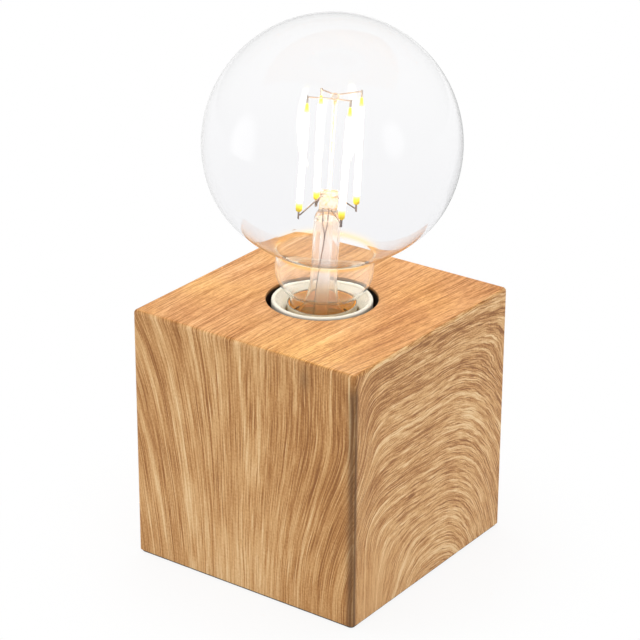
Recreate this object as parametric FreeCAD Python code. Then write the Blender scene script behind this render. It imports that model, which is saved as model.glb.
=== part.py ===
import FreeCAD, Part
import math
import os

from FreeCAD import Vector

# Bare bulb table lamp: a cube-shaped case with a sunk E27 lampholder and an LED globe bulb.
#
# Millimetres, +Z up, origin at the centre of the face the lamp stands on.
# -Y is the front and +Y the back, where the cable inlet is.
# The bulb's own axis leans a little in its cap, as a cemented bulb's does. Its inner parts are
# laid out in the bulb's own frame: u along the lean, v to its right-hand side, h up the axis
# from the cap's rim.

# ---------------------------------------------------------------- driving dimensions

# How far a cutting shape runs past the faces that it cuts through
overcut = 1.0

# Case of mitred boards
case_width = 100.0
case_depth = 100.0
case_height = 100.0
board = 10.0
edge_radius = 1.6
hole_gap = 2.0
hole_edge_radius = 0.3

# Base plate, pad and their screws
pad_thickness = 1.0
pad_inset = 0.6
plate_thickness = 2.0
plate_ledge = 5.0
plate_clearance = 0.25
plate_corner_radius = 2.0
block_leg = 18.0
block_height = 30.0
base_screw_radius = 1.6
base_screw_head_radius = 3.2
base_screw_length = 14.0
block_screw_inset = 5.5
base_screw_tip_radius = 0.3
recess_length = 3.2
recess_width = 0.7
recess_depth = 0.9
screw_clearance = 0.05
access_clearance = 0.8

# Cable inlet in the back wall
inlet_height = 17.0
bush_bore_radius = 3.2
bush_wall = 1.8
bush_flange_radius = 7.0
bush_flange_thickness = 1.6
bush_snap_height = 0.7
bush_snap_length = 2.4
bush_clearance = 0.1

# Lampholder
lip_overhang = 1.6
lip_height = 3.2
lip_edge_width = 1.8
lip_rounding = 0.8
lip_underside_slope = 1.2
skirt_wall = 3.4
throat_gap = 0.25
funnel_depth = 5.0
block_insertion = 2.0
holder_clearance = 0.1
contact_block_height = 7.0
sleeve_wall = 0.35
sleeve_clearance = 0.2
sleeve_flange_width = 3.6
sleeve_recess = 0.6
rivet_radius = 0.8
rivet_head_radius = 1.2
rivet_head_height = 0.6
seat_width = 0.7
seat_height = 2.0
wire_passage_radius = 1.4
wire_passage_x = 5.5
wire_passage_y = 4.0
dome_height = 19.0
dome_shoulder = 6.6
dome_wall = 2.2
dome_boss_radius = 9.0
dome_boss_height = 4.0
leaf_thickness = 0.4
leaf_width = 4.0
leaf_rise = 3.4
leaf_foot_length = 4.5
leaf_tail = 7.0
leaf_tongue = 3.6
terminal_size = 6.0
terminal_offset = 7.2
terminal_height = 5.0
terminal_bore_radius = 1.3
terminal_screw_radius = 1.5
terminal_screw_length = 4.6
terminal_slot_width = 0.5
terminal_slot_depth = 0.5

# Nipple, nut, washer and bracket
nipple_radius = 5.0
nipple_bore_radius = 3.6
nipple_length = 13.0
nipple_clearance = 0.05
nipple_overhang = 1.5
nipple_chamfer = 0.4
nut_flats = 14.0
nut_height = 3.0
nut_chamfer = 0.7
washer_radius = 8.5
washer_thickness = 0.8
washer_teeth = 12
washer_tooth_depth = 1.5
strap_thickness = 1.5
strap_width = 18.0
strap_bend_radius = 2.5
strap_leg_gap = 2.0
strap_end_gap = 2.5
strap_corner_radius = 4.0
strap_hole_clearance = 0.3
bracket_screw_radius = 1.8
bracket_screw_head_radius = 3.4
bracket_screw_head_height = 2.2
bracket_screw_head_rounding = 1.2
bracket_screw_length = 7.0
bracket_slot_width = 0.8
bracket_slot_depth = 1.0

# E27 cap
cap_thread_radius = 13.2
cap_skirt_step = 0.2
cap_wall = 0.4
cap_height = 27.0
cap_rim_drop = 1.5
cap_skirt_height = 5.0
cap_taper_height = 7.5
cap_shell_start = 5.0
cap_taper_depth = 2.3
insulator_start = 1.1
insulator_start_radius = 6.2
insulator_wall = 1.6
tip_radius = 4.8
tip_dome_radius = 3.0
insulator_hole_radius = 1.0
insulator_lip = 0.8
shell_start_wall = 0.8
shell_step = 0.6
tip_gap = 0.05
contact_gap = 0.1
cement_thickness = 0.5
cement_depth = 6.5
cement_top = 0.6
fit_gap = 0.05

# LED driver in the cap: places are measured from the cap's axis
board_height = 12.0
board_thickness = 1.0
board_hole_radius = 2.6
capacitor_radius = 3.1
capacitor_length = 4.6
capacitor_rounding = 0.5
capacitor_x = 5.6
capacitor_y = -3.2
chip_width = 4.0
chip_length = 5.0
chip_height = 1.5
chip_stand_off = 0.15
chip_x = 6.4
chip_lead_pitch = 1.27
chip_lead_width = 0.4
chip_lead_reach = 0.9
chip_leads = 4
resistor_radius = 1.2
resistor_length = 6.0
resistor_drop = 2.0
resistor_x = -6.0
resistor_leg_radius = 0.3
resistor_leg_reach = 1.0

# Glass envelope
lean = 3.1
lean_heading = 35.5
globe_radius = 47.5
globe_centre = 62.2
glass_wall = 0.8
neck_radius = 18.4
tube_depth = 7.5
tube_top = 1.4
ogee_inner_radius = 3.0
ogee_angle = 62.0
crease_radius = 1.5

# Stem, exhaust tube and centre rod
stem_radius = 5.0
stem_wall = 0.8
stem_top = 34.0
flare_start = 9.5
flare_gap = 0.1
press_width = 6.8
press_thickness = 3.4
press_start = 36.5
press_top = 44.2
press_rounding = 1.0
crown_thickness = 1.0
exhaust_radius = 2.4
exhaust_wall = 0.6
exhaust_end = -10.0
exhaust_tip_length = 2.0
exhaust_tip_share = 0.4
rod_radius = 0.55
rod_top = 80.0
bead_radius = 1.5

# Filaments: each end has its distance from the axis and its angle from the lean direction
filament_radius = 1.1
filament_foot = 37.0
filament_head = 78.7
filament_head_reaches = (8.6, 11.1, 7.2, 11.0)
filament_head_angles = (50.5, -29.5, 226.5, 154.5)
filament_foot_reaches = (11.6, 11.8, 9.5, 11.8)
filament_foot_angles = (65.5, -28.5, 242.5, 155.5)
tab_length = 2.7
tab_width = 0.9
tab_thickness = 0.3

# Wires inside the glass
wire_radius = 0.25
wire_grip = 0.8
head_wire_rise = 2.2
cross_wire_offsets = (-0.7, 0.8)
foot_wire_heights = (36.9, 41.6, 42.6, 42.0)
foot_wire_root_reaches = (2.6, 2.9, 2.6, 3.0)
foot_wire_root_angles = (50.0, -20.0, 210.0, 165.0)
lead_top_spread = 0.9
lead_top_u = -0.9
lead_side = 3.2
lead_join_u = -0.5
lead_join_height = 28.5
lead_end_u = -3.6

# ---------------------------------------------------------------- derived levels and places

case_bottom = pad_thickness
case_top = case_bottom + case_height
cavity_half_x = case_width / 2 - board
cavity_half_y = case_depth / 2 - board
plate_top = case_bottom + plate_thickness
plate_half_x = cavity_half_x + plate_ledge
plate_half_y = cavity_half_y + plate_ledge
screw_x = cavity_half_x - block_screw_inset
screw_y = cavity_half_y - block_screw_inset
screw_places = [(x, y) for x in (-screw_x, screw_x) for y in (-screw_y, screw_y)]

rim_level = case_top - cap_rim_drop
tip_level = rim_level - cap_height
cap_inner_radius = cap_thread_radius - cap_wall
cap_skirt_radius = cap_thread_radius - cap_skirt_step
cap_skirt_inner_radius = cap_skirt_radius - cap_wall
cap_shell_start_radius = cap_thread_radius - cap_taper_depth
tube_radius = cap_skirt_inner_radius - cement_thickness
driver_bottom = tip_level + board_height
driver_top = driver_bottom + board_thickness

lip_bottom = case_top - lip_height
funnel_bottom = case_top - funnel_depth
leaf_top = tip_level - contact_gap
block_top = leaf_top - leaf_rise
block_bottom = block_top - contact_block_height
skirt_bottom = block_bottom + block_insertion
sleeve_inner_radius = cap_thread_radius + sleeve_clearance
sleeve_outer_radius = sleeve_inner_radius + sleeve_wall
throat_radius = sleeve_outer_radius + throat_gap
skirt_radius = throat_radius + skirt_wall
lip_radius = skirt_radius + lip_overhang
hole_radius = lip_radius + hole_gap
insert_radius = throat_radius - holder_clearance
dome_shoulder_level = skirt_bottom - dome_shoulder
dome_bottom = skirt_bottom - dome_height
boss_bottom = dome_bottom - dome_boss_height
strap_top = boss_bottom - washer_thickness
strap_bottom = strap_top - strap_thickness
nut_bottom = strap_bottom - nut_height
nipple_bottom = nut_bottom - nipple_overhang
leg_inner_x = hole_radius + strap_leg_gap
leg_outer_x = leg_inner_x + strap_thickness
flange_level = case_top - board
flange_end_x = cavity_half_x - strap_end_gap
bracket_screw_x = (leg_outer_x + flange_end_x) / 2
filament_count = len(filament_head_reaches)

Z_AXIS = Vector(0, 0, 1)
ORIGIN = Vector(0, 0, 0)
PIVOT = Vector(0, 0, rim_level)


# ---------------------------------------------------------------- shared helpers

def save(shape, node):
    """Write one sub-part, after a check that it is sound."""
    sound = shape.removeSplitter()
    if not sound.isValid() or not sound.Solids:
        raise ValueError(node + " is not a sound solid")
    sound.exportStep("parts/" + node + ".step")
    print(node, len(sound.Solids), "solids", round(sound.Volume, 1), "mm3")


def cylinder(radius, bottom, top, x=0.0, y=0.0):
    """Upright cylinder between two levels."""
    return Part.makeCylinder(radius, top - bottom, Vector(x, y, bottom), Z_AXIS)


def tube(outer, inner, bottom, top, x=0.0, y=0.0):
    """Upright tube between two levels."""
    return cylinder(outer, bottom, top, x, y).cut(cylinder(inner, bottom - overcut, top + overcut, x, y))


def centred_box(half_x, half_y, bottom, top):
    """Box centred on the Z axis."""
    corner = Vector(-half_x, -half_y, bottom)
    return Part.makeBox(2 * half_x, 2 * half_y, top - bottom, corner)


def upright_edges(shape, low, high):
    """Straight vertical edges of a shape that run between two levels."""
    found = []
    for edge in shape.Edges:
        box = edge.BoundBox
        upright = box.XLength + box.YLength < 1e-6
        if upright and abs(box.ZMin - low) < 1e-6 and abs(box.ZMax - high) < 1e-6:
            found.append(edge)
    return found


def arc_point(centre, radius, degrees):
    """Point of the XZ plane on a circle about centre (radius, level)."""
    angle = math.radians(degrees)
    return Vector(centre[0] + radius * math.cos(angle), 0, centre[1] + radius * math.sin(angle))


def joined(start, end):
    """Straight edge between two points."""
    return Part.LineSegment(start, end).toShape()


def outline(pieces):
    """Closed wire in the XZ plane through corners (radius, level) and arcs, joined by lines.

    An arc is (centre, radius, start, end), with its two angles in degrees.
    """
    edges = []
    ends = []
    for piece in pieces:
        if len(piece) == 2:
            points = [Vector(piece[0], 0, piece[1])]
        else:
            centre, radius, start, end = piece
            points = [arc_point(centre, radius, degrees)
                      for degrees in (start, (start + end) / 2, end)]
        if ends and ends[-1].distanceToPoint(points[0]) > 1e-6:
            edges.append(joined(ends[-1], points[0]))
        if len(points) > 1:
            edges.append(Part.Arc(*points).toShape())
        ends += [points[0], points[-1]]
    edges.append(joined(ends[-1], ends[0]))
    return Part.Wire(edges)


def turned(pieces):
    """Solid of revolution about Z from an outline's corners and arcs."""
    return Part.Face(outline(pieces)).revolve(ORIGIN, Z_AXIS, 360)


def backwards(pieces):
    """The same corners and arcs, run the other way."""
    turned_round = []
    for piece in reversed(pieces):
        if len(piece) == 2:
            turned_round.append(piece)
        else:
            centre, radius, start, end = piece
            turned_round.append((centre, radius, end, start))
    return turned_round


def low_edges(shape, level):
    """Edges that lie no higher than a level."""
    return [edge for edge in shape.Edges if edge.BoundBox.ZMax < level + 1e-6]


def high_edges(shape, level):
    """Edges that lie no lower than a level."""
    return [edge for edge in shape.Edges if edge.BoundBox.ZMin > level - 1e-6]


def fused(shapes):
    """One shape from several that touch or overlap."""
    return shapes[0].multiFuse(shapes[1:]) if len(shapes) > 1 else shapes[0]


def polar(radius, degrees):
    """(u, v) of a point at a radius and an angle from the lean direction."""
    angle = math.radians(degrees)
    return radius * math.cos(angle), radius * math.sin(angle)


def bulb_point(u, v, h):
    """Point of the bulb's frame, before the lean is applied."""
    heading = math.radians(lean_heading)
    x = u * math.cos(heading) + v * math.sin(heading)
    y = u * math.sin(heading) - v * math.cos(heading)
    return Vector(x, y, rim_level + h)


def leaned(shape):
    """The shape turned about the cap's rim by the bulb's lean."""
    heading = math.radians(lean_heading)
    across = Vector(-math.sin(heading), math.cos(heading), 0)
    return shape.rotated(PIVOT, across, lean)


def wire_along(points, radius):
    """Round wire through points, with a ball at each bend."""
    pieces = []
    for start, end in zip(points, points[1:]):
        run = end - start
        pieces.append(Part.makeCylinder(radius, run.Length, start, run))
    for bend in points[1:-1]:
        pieces.append(Part.makeSphere(radius, bend))
    return fused(pieces)


# ---------------------------------------------------------------- case and base

def whole_case():
    """The glued case: a box open below, with the holes in its top and back."""
    body = centred_box(case_width / 2, case_depth / 2, case_bottom, case_top)
    sides = upright_edges(body, case_bottom, case_top)
    body = body.makeFillet(edge_radius, sides + high_edges(body, case_top))
    body = body.cut(centred_box(cavity_half_x, cavity_half_y, case_bottom - overcut, flange_level))
    body = body.cut(plate_outline(plate_clearance, case_bottom - overcut, plate_top))
    body = body.cut(cylinder(hole_radius, flange_level - overcut, case_top + overcut))
    rim = [edge for edge in high_edges(body, case_top)
           if abs(edge.Length - 2 * math.pi * hole_radius) < 1e-3]
    body = body.makeFillet(hole_edge_radius, rim)
    inlet = inlet_cylinder(bush_bore_radius + bush_wall + bush_clearance, board + overcut, overcut)
    return body.cut(inlet).cut(bracket_screws())


def corners_of_case(inset, level):
    """Corners of the case's plan, inset from its faces, in order round the Z axis."""
    half_x = case_width / 2 - inset
    half_y = case_depth / 2 - inset
    return [Vector(-half_x, -half_y, level), Vector(half_x, -half_y, level),
            Vector(half_x, half_y, level), Vector(-half_x, half_y, level)]


def top_mitre():
    """Block that the top board fills: its four sides slope inwards at the mitres."""
    outlines = []
    for inset, level in ((board, flange_level), (0.0, case_top)):
        corners = corners_of_case(inset, level)
        outlines.append(Part.makePolygon(corners + corners[:1]))
    return Part.makeLoft(outlines, True, True)


def case_boards():
    """The five boards of the case, each cut from it along the mitres."""
    case = whole_case()
    top = top_mitre()
    boards = {"top_board": case.common(top)}
    walls = case.cut(top)
    outer = corners_of_case(0.0, case_bottom)
    inner = corners_of_case(board, case_bottom)
    for index, name in enumerate(("front_board", "right_board", "back_board", "left_board")):
        after = (index + 1) % len(outer)
        corners = [outer[index], outer[after], inner[after], inner[index], outer[index]]
        wedge = Part.Face(Part.makePolygon(corners)).extrude(Vector(0, 0, case_height))
        boards[name] = walls.common(wedge)
    return boards


def plate_outline(grow, bottom, top):
    """Rounded plate between two levels, grown by a clearance."""
    plate = centred_box(plate_half_x + grow, plate_half_y + grow, bottom, top)
    return plate.makeFillet(plate_corner_radius + grow, upright_edges(plate, bottom, top))


def corner_blocks():
    """Triangular glue blocks in the case's corners, with pilot holes for the base screws."""
    blocks = []
    for sign_x in (-1, 1):
        for sign_y in (-1, 1):
            corner_x = sign_x * cavity_half_x
            corner_y = sign_y * cavity_half_y
            corners = [Vector(corner_x, corner_y, plate_top),
                       Vector(corner_x - sign_x * block_leg, corner_y, plate_top),
                       Vector(corner_x, corner_y - sign_y * block_leg, plate_top)]
            face = Part.Face(Part.makePolygon(corners + corners[:1]))
            block = face.extrude(Vector(0, 0, block_height))
            pilot = cylinder(base_screw_radius + screw_clearance, plate_top - overcut,
                             case_bottom + base_screw_length + overcut,
                             sign_x * screw_x, sign_y * screw_y)
            blocks.append(block.cut(pilot))
    return Part.makeCompound(blocks)


def countersunk_screw(x, y, grow=0.0):
    """Screw driven up from the plate's underside, grown by a clearance for its hole."""
    head_height = base_screw_head_radius - base_screw_radius
    radius = base_screw_radius + grow
    head = Part.makeCone(base_screw_head_radius + grow, radius, head_height,
                         Vector(x, y, case_bottom), Z_AXIS)
    shank_end = case_bottom + base_screw_length
    shank = cylinder(radius, case_bottom + head_height, shank_end - radius, x, y)
    point = Part.makeCone(radius, base_screw_tip_radius, radius,
                          Vector(x, y, shank_end - radius), Z_AXIS)
    return fused([head, shank, point])


def base_plate():
    """Steel plate in the case's rebate, with four countersunk holes."""
    plate = plate_outline(0.0, case_bottom, plate_top)
    for x, y in screw_places:
        plate = plate.cut(countersunk_screw(x, y, screw_clearance))
    return plate


def base_screws():
    """Four countersunk screws with a cross recess."""
    screws = []
    half_length = recess_length / 2
    half_width = recess_width / 2
    for x, y in screw_places:
        along_x = Part.makeBox(recess_length, recess_width, recess_depth,
                               Vector(x - half_length, y - half_width, case_bottom))
        along_y = Part.makeBox(recess_width, recess_length, recess_depth,
                               Vector(x - half_width, y - half_length, case_bottom))
        screws.append(countersunk_screw(x, y).cut(along_x.fuse(along_y)))
    return Part.makeCompound(screws)


def base_pad():
    """Soft pad under the whole base, with a hole at each screw."""
    half_x = case_width / 2 - pad_inset
    half_y = case_depth / 2 - pad_inset
    pad = centred_box(half_x, half_y, 0.0, case_bottom)
    pad = pad.makeFillet(edge_radius, upright_edges(pad, 0.0, case_bottom))
    for x, y in screw_places:
        pad = pad.cut(cylinder(base_screw_head_radius + access_clearance,
                               -overcut, case_bottom + overcut, x, y))
    return pad


def inlet_cylinder(radius, length, proud):
    """Cylinder on the inlet's axis: it stands proud of the back wall and runs inwards."""
    start = Vector(0, case_depth / 2 + proud, inlet_height)
    return Part.makeCylinder(radius, length + proud, start, Vector(0, -1, 0))


def cable_bush():
    """Snap-in bush that lines the inlet hole through the back wall."""
    body_radius = bush_bore_radius + bush_wall
    body = inlet_cylinder(body_radius, board + bush_snap_length, 0.0)
    flange = inlet_cylinder(bush_flange_radius, 0.0, bush_flange_thickness)
    rounded = [edge for edge in flange.Edges
               if edge.BoundBox.YMin > case_depth / 2 + bush_flange_thickness - 1e-6]
    flange = flange.makeFillet(bush_flange_thickness * 0.6, rounded)
    inner_wall = case_depth / 2 - board
    snap = Part.makeCone(body_radius + bush_snap_height, body_radius, bush_snap_length,
                         Vector(0, inner_wall - bush_clearance, inlet_height), Vector(0, -1, 0))
    bush = fused([body, flange, snap])
    return bush.cut(inlet_cylinder(bush_bore_radius, board + bush_snap_length + overcut,
                                   bush_flange_thickness + overcut))


# ---------------------------------------------------------------- lampholder

def lampholder_skirt():
    """Upper shell: rounded lip, conical funnel and the throat that holds the sleeve."""
    outer_centre = (lip_radius - lip_rounding, case_top - lip_rounding)
    inner_centre = (lip_radius - lip_edge_width + lip_rounding, case_top - lip_rounding)
    return turned([
        (throat_radius, skirt_bottom),
        (skirt_radius, skirt_bottom),
        (skirt_radius, lip_bottom - lip_underside_slope),
        (lip_radius, lip_bottom),
        (outer_centre, lip_rounding, 0, 90),
        (inner_centre, lip_rounding, 90, 180),
        (throat_radius, funnel_bottom),
    ])


def lampholder_dome():
    """Lower shell: a dome over the terminals, a seat for the block and a threaded boss."""
    centre = (0, dome_shoulder_level)
    inner_radius = skirt_radius - dome_wall
    floor = dome_bottom + dome_wall
    outer_sweep = math.degrees(math.asin((dome_shoulder_level - dome_bottom) / skirt_radius))
    inner_sweep = math.degrees(math.asin((dome_shoulder_level - floor) / inner_radius))
    bore = nipple_radius + nipple_clearance
    seat = block_bottom - seat_height
    return turned([
        (bore, boss_bottom),
        (bore, floor),
        (centre, inner_radius, -inner_sweep, 0),
        (inner_radius, seat),
        (insert_radius - seat_width, seat),
        (insert_radius - seat_width, block_bottom),
        (throat_radius, block_bottom),
        (throat_radius, skirt_bottom),
        (skirt_radius, skirt_bottom),
        (centre, skirt_radius, 0, -outer_sweep),
        (dome_boss_radius, dome_bottom),
        (dome_boss_radius, boss_bottom),
    ])


def contact_block():
    """Ceramic insert with two rivet holes and two wire passages."""
    block = cylinder(insert_radius, block_bottom, block_top)
    for x, y in rivet_places():
        block = block.cut(rivet_hole(x, y))
    for sign in (-1, 1):
        block = block.cut(cylinder(wire_passage_radius, block_bottom - overcut, block_top + overcut,
                                   sign * wire_passage_x, wire_passage_y))
    return block


def rivet_places():
    """Centres of the two rivets, in the middle of the sleeve's flange."""
    radius = sleeve_outer_radius - sleeve_flange_width / 2
    return ((-radius, 0.0), (radius, 0.0))


def rivet_hole(x, y):
    """Hole for a rivet through the contact block and the sleeve's flange."""
    return cylinder(rivet_radius + screw_clearance, block_bottom - overcut, block_top + overcut, x, y)


def thread_sleeve():
    """Sleeve the bulb's cap screws into, with a flange riveted on the contact block."""
    flange_inner = sleeve_outer_radius - sleeve_flange_width
    top = funnel_bottom - sleeve_recess
    sleeve = turned([
        (flange_inner, block_top),
        (sleeve_outer_radius, block_top),
        (sleeve_outer_radius, top),
        (sleeve_inner_radius, top),
        (sleeve_inner_radius, block_top + sleeve_wall),
        (flange_inner, block_top + sleeve_wall),
    ])
    for x, y in rivet_places():
        sleeve = sleeve.cut(rivet_hole(x, y))
    return sleeve


def sleeve_rivets():
    """Two rivets that clamp the sleeve's flange to the contact block."""
    rivets = []
    for x, y in rivet_places():
        head_level = block_top + sleeve_wall
        shank = cylinder(rivet_radius, block_bottom - rivet_head_height,
                         head_level + rivet_head_height, x, y)
        head = cylinder(rivet_head_radius, head_level, head_level + rivet_head_height, x, y)
        rolled = cylinder(rivet_head_radius, block_bottom - rivet_head_height, block_bottom, x, y)
        rivets.append(fused([shank, head, rolled]))
    return Part.makeCompound(rivets)


def centre_contact():
    """Sprung leaf that rises from the contact block to the bulb's tip."""
    knee = leaf_foot_length - leaf_tail
    crest = knee + leaf_rise / 2
    tongue = crest + leaf_tongue
    slant = leaf_thickness * 0.75
    profile = [
        (-leaf_tail, block_top),
        (knee, block_top),
        (crest, leaf_top - leaf_thickness),
        (tongue, leaf_top - leaf_thickness),
        (tongue, leaf_top),
        (crest - slant, leaf_top),
        (knee - slant, block_top + leaf_thickness),
        (-leaf_tail, block_top + leaf_thickness),
    ]
    corners = [Vector(-leaf_width / 2, y, z) for y, z in profile]
    face = Part.Face(Part.makePolygon(corners + corners[:1]))
    return face.extrude(Vector(leaf_width, 0, 0))


def terminals():
    """Two brass clamps under the contact block, bored for a conductor and a screw."""
    clamps = []
    half = terminal_size / 2
    middle = block_bottom - terminal_height / 2
    for y in (-terminal_offset, terminal_offset):
        clamp = Part.makeBox(terminal_size, terminal_size, terminal_height,
                             Vector(-half, y - half, block_bottom - terminal_height))
        bore = Part.makeCylinder(terminal_bore_radius, terminal_size + 2 * overcut,
                                 Vector(-half - overcut, y, middle), Vector(1, 0, 0))
        tapped = cylinder(terminal_screw_radius + screw_clearance,
                          block_bottom - terminal_height - overcut, middle, 0.0, y)
        clamps.append(clamp.cut(bore).cut(tapped))
    return Part.makeCompound(clamps)


def terminal_screws():
    """Slotted screws that clamp the conductors from below."""
    screws = []
    top = block_bottom - terminal_height / 2 - terminal_bore_radius / 2
    bottom = top - terminal_screw_length
    for y in (-terminal_offset, terminal_offset):
        screw = cylinder(terminal_screw_radius, bottom, top, 0.0, y)
        slot = Part.makeBox(4 * terminal_screw_radius, terminal_slot_width, terminal_slot_depth,
                            Vector(-2 * terminal_screw_radius, y - terminal_slot_width / 2, bottom))
        screws.append(screw.cut(slot))
    return Part.makeCompound(screws)


def threaded_nipple():
    """Hollow nipple that carries the lampholder and lets the conductors through."""
    nipple = tube(nipple_radius, nipple_bore_radius, nipple_bottom, nipple_bottom + nipple_length)
    rims = [edge for edge in nipple.Edges if abs(edge.Length - 2 * math.pi * nipple_radius) < 1e-3]
    return nipple.makeChamfer(nipple_chamfer, rims)


def hexagon(flats, bottom, top):
    """Hexagonal prism, measured across its flats."""
    reach = flats / math.sqrt(3)
    corners = []
    for index in range(6):
        angle = math.radians(60 * index + 30)
        corners.append(Vector(reach * math.cos(angle), reach * math.sin(angle), bottom))
    return Part.Face(Part.makePolygon(corners + corners[:1])).extrude(Vector(0, 0, top - bottom))


def lock_nut():
    """Hexagon nut with turned corners, tight under the strap."""
    nut = hexagon(nut_flats, nut_bottom, strap_bottom)
    reach = nut_flats / math.sqrt(3)
    rim = nut_flats / 2
    corners = turned([
        (0, nut_bottom),
        (rim, nut_bottom),
        (reach, nut_bottom + nut_chamfer),
        (reach, strap_bottom - nut_chamfer),
        (rim, strap_bottom),
        (0, strap_bottom),
    ])
    bore = cylinder(nipple_radius + nipple_clearance, nut_bottom - overcut, strap_bottom + overcut)
    return nut.common(corners).cut(bore)


def toothed_washer():
    """Washer with outer teeth between the strap and the lampholder."""
    washer = tube(washer_radius, nipple_radius + nipple_clearance, strap_top, boss_bottom)
    for index in range(washer_teeth):
        angle = math.radians(360 / washer_teeth * index)
        x = washer_radius * math.cos(angle)
        y = washer_radius * math.sin(angle)
        washer = washer.cut(cylinder(washer_tooth_depth, strap_top - overcut, boss_bottom + overcut, x, y))
    return washer


def strap_bends(shape, level):
    """The two lower edges of a strap's outline that run across it."""
    return [edge for edge in low_edges(shape, level) if edge.BoundBox.XLength < 1e-6]


def holder_bracket():
    """Bent strap that hangs the lampholder under the case's top board."""
    half_width = strap_width / 2
    outer = centred_box(leg_outer_x, half_width, strap_bottom, flange_level)
    outer = outer.makeFillet(strap_bend_radius, strap_bends(outer, strap_bottom))
    inner = centred_box(leg_inner_x, half_width + overcut, strap_top, flange_level + overcut)
    inner = inner.makeFillet(strap_bend_radius - strap_thickness, strap_bends(inner, strap_top))
    strap = outer.cut(inner)
    flange_bottom = flange_level - strap_thickness
    for sign in (-1, 1):
        start_x = leg_inner_x if sign > 0 else -flange_end_x
        flange = Part.makeBox(flange_end_x - leg_inner_x, strap_width, strap_thickness,
                              Vector(start_x, -half_width, flange_bottom))
        tips = [edge for edge in upright_edges(flange, flange_bottom, flange_level)
                if abs(edge.BoundBox.XMin) > flange_end_x - 1e-6]
        strap = strap.fuse(flange.makeFillet(strap_corner_radius, tips))
        strap = strap.cut(cylinder(bracket_screw_radius + strap_hole_clearance,
                                   flange_bottom - overcut, flange_level + overcut,
                                   sign * bracket_screw_x))
    hole = cylinder(nipple_radius + strap_hole_clearance, strap_bottom - overcut, strap_top + overcut)
    return strap.cut(hole)


def bracket_screws():
    """Pan-head screws that hold the strap to the underside of the top board."""
    screws = []
    under = flange_level - strap_thickness
    head_bottom = under - bracket_screw_head_height
    for sign in (-1, 1):
        x = sign * bracket_screw_x
        head = cylinder(bracket_screw_head_radius, head_bottom, under, x)
        head = head.makeFillet(bracket_screw_head_rounding, low_edges(head, head_bottom))
        shank = cylinder(bracket_screw_radius, head_bottom + bracket_slot_depth,
                         under + bracket_screw_length, x)
        half_slot = bracket_slot_width / 2
        slot = Part.makeBox(2 * bracket_screw_head_radius, bracket_slot_width, bracket_slot_depth,
                            Vector(x - bracket_screw_head_radius, -half_slot, head_bottom))
        screws.append(head.fuse(shank).cut(slot))
    return Part.makeCompound(screws)


# ---------------------------------------------------------------- screw cap

def screw_cap():
    """E27 shell: lip around the insulator, thread zone and plain skirt."""
    start = tip_level + cap_shell_start
    taper = tip_level + cap_taper_height
    skirt = rim_level - cap_skirt_height
    start_inner = cap_shell_start_radius - shell_start_wall
    return turned([
        (cap_shell_start_radius, start),
        (cap_thread_radius, taper),
        (cap_thread_radius, skirt - shell_step),
        (cap_skirt_radius, skirt),
        (cap_skirt_radius, rim_level),
        (cap_skirt_inner_radius, rim_level),
        (cap_skirt_inner_radius, skirt - cap_wall),
        (cap_inner_radius, skirt - shell_step - cap_wall),
        (cap_inner_radius, taper + cap_wall),
        (start_inner, start + cap_wall),
        (start_inner, start),
    ])


def cap_insulator():
    """Black glass dish between the shell and the tip."""
    bottom = tip_level + insulator_start
    top = tip_level + cap_shell_start
    inner_top = cap_shell_start_radius - shell_start_wall
    return turned([
        (insulator_hole_radius, bottom),
        (insulator_start_radius, bottom),
        (cap_shell_start_radius, top),
        (inner_top, top),
        (inner_top, top + insulator_lip),
        (inner_top - insulator_wall, top + insulator_lip),
        (insulator_start_radius - insulator_wall / 2, bottom + insulator_wall),
        (insulator_hole_radius, bottom + insulator_wall),
    ])


def tip_contact():
    """Domed centre contact of the cap."""
    top = tip_level + insulator_start - tip_gap
    return turned([
        (0, tip_level),
        (tip_dome_radius, tip_level),
        (tip_radius, (tip_level + top) / 2),
        (tip_radius, top),
        (0, top),
    ])


def cap_cement():
    """Ring of cement between the cap's skirt and the glass tube."""
    ring = cylinder(cap_skirt_inner_radius - fit_gap, rim_level - cement_depth,
                    rim_level - cement_top)
    core = cylinder(tube_radius + fit_gap, rim_level - 2 * cement_depth, rim_level + cement_depth)
    return ring.cut(leaned(core))


# ---------------------------------------------------------------- LED driver

def driver_board():
    """Round circuit board across the cap, with a hole in its middle."""
    disc = cylinder(cap_inner_radius - fit_gap, driver_bottom, driver_top)
    return disc.cut(cylinder(board_hole_radius, driver_bottom - overcut, driver_top + overcut))


def driver_capacitor():
    """Smoothing capacitor that hangs under the board."""
    end = driver_bottom - capacitor_length
    can = cylinder(capacitor_radius, end, driver_bottom, capacitor_x, capacitor_y)
    return can.makeFillet(capacitor_rounding, low_edges(can, end))


def driver_chip():
    """Driver chip with a row of leads on each long side."""
    left = chip_x - chip_width / 2
    body = Part.makeBox(chip_width, chip_length, chip_height,
                        Vector(left, -chip_length / 2, driver_top + chip_stand_off))
    pieces = [body]
    for index in range(chip_leads):
        y = (index - (chip_leads - 1) / 2) * chip_lead_pitch - chip_lead_width / 2
        lead = Part.makeBox(chip_width + 2 * chip_lead_reach, chip_lead_width, 2 * chip_stand_off,
                            Vector(left - chip_lead_reach, y, driver_top))
        pieces.append(lead)
    return fused(pieces)


def driver_resistor():
    """Fusible resistor that hangs under the board, with its two bent legs."""
    level = driver_bottom - resistor_drop
    half = resistor_length / 2
    body = Part.makeCylinder(resistor_radius, resistor_length,
                             Vector(resistor_x, -half, level), Vector(0, 1, 0))
    pieces = [body]
    for sign in (-1, 1):
        far = sign * (half + resistor_leg_reach)
        leg = [Vector(resistor_x, far, driver_bottom), Vector(resistor_x, far, level),
               Vector(resistor_x, 0, level)]
        pieces.append(wire_along(leg, resistor_leg_radius))
    return fused(pieces)


# ---------------------------------------------------------------- glass

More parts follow.
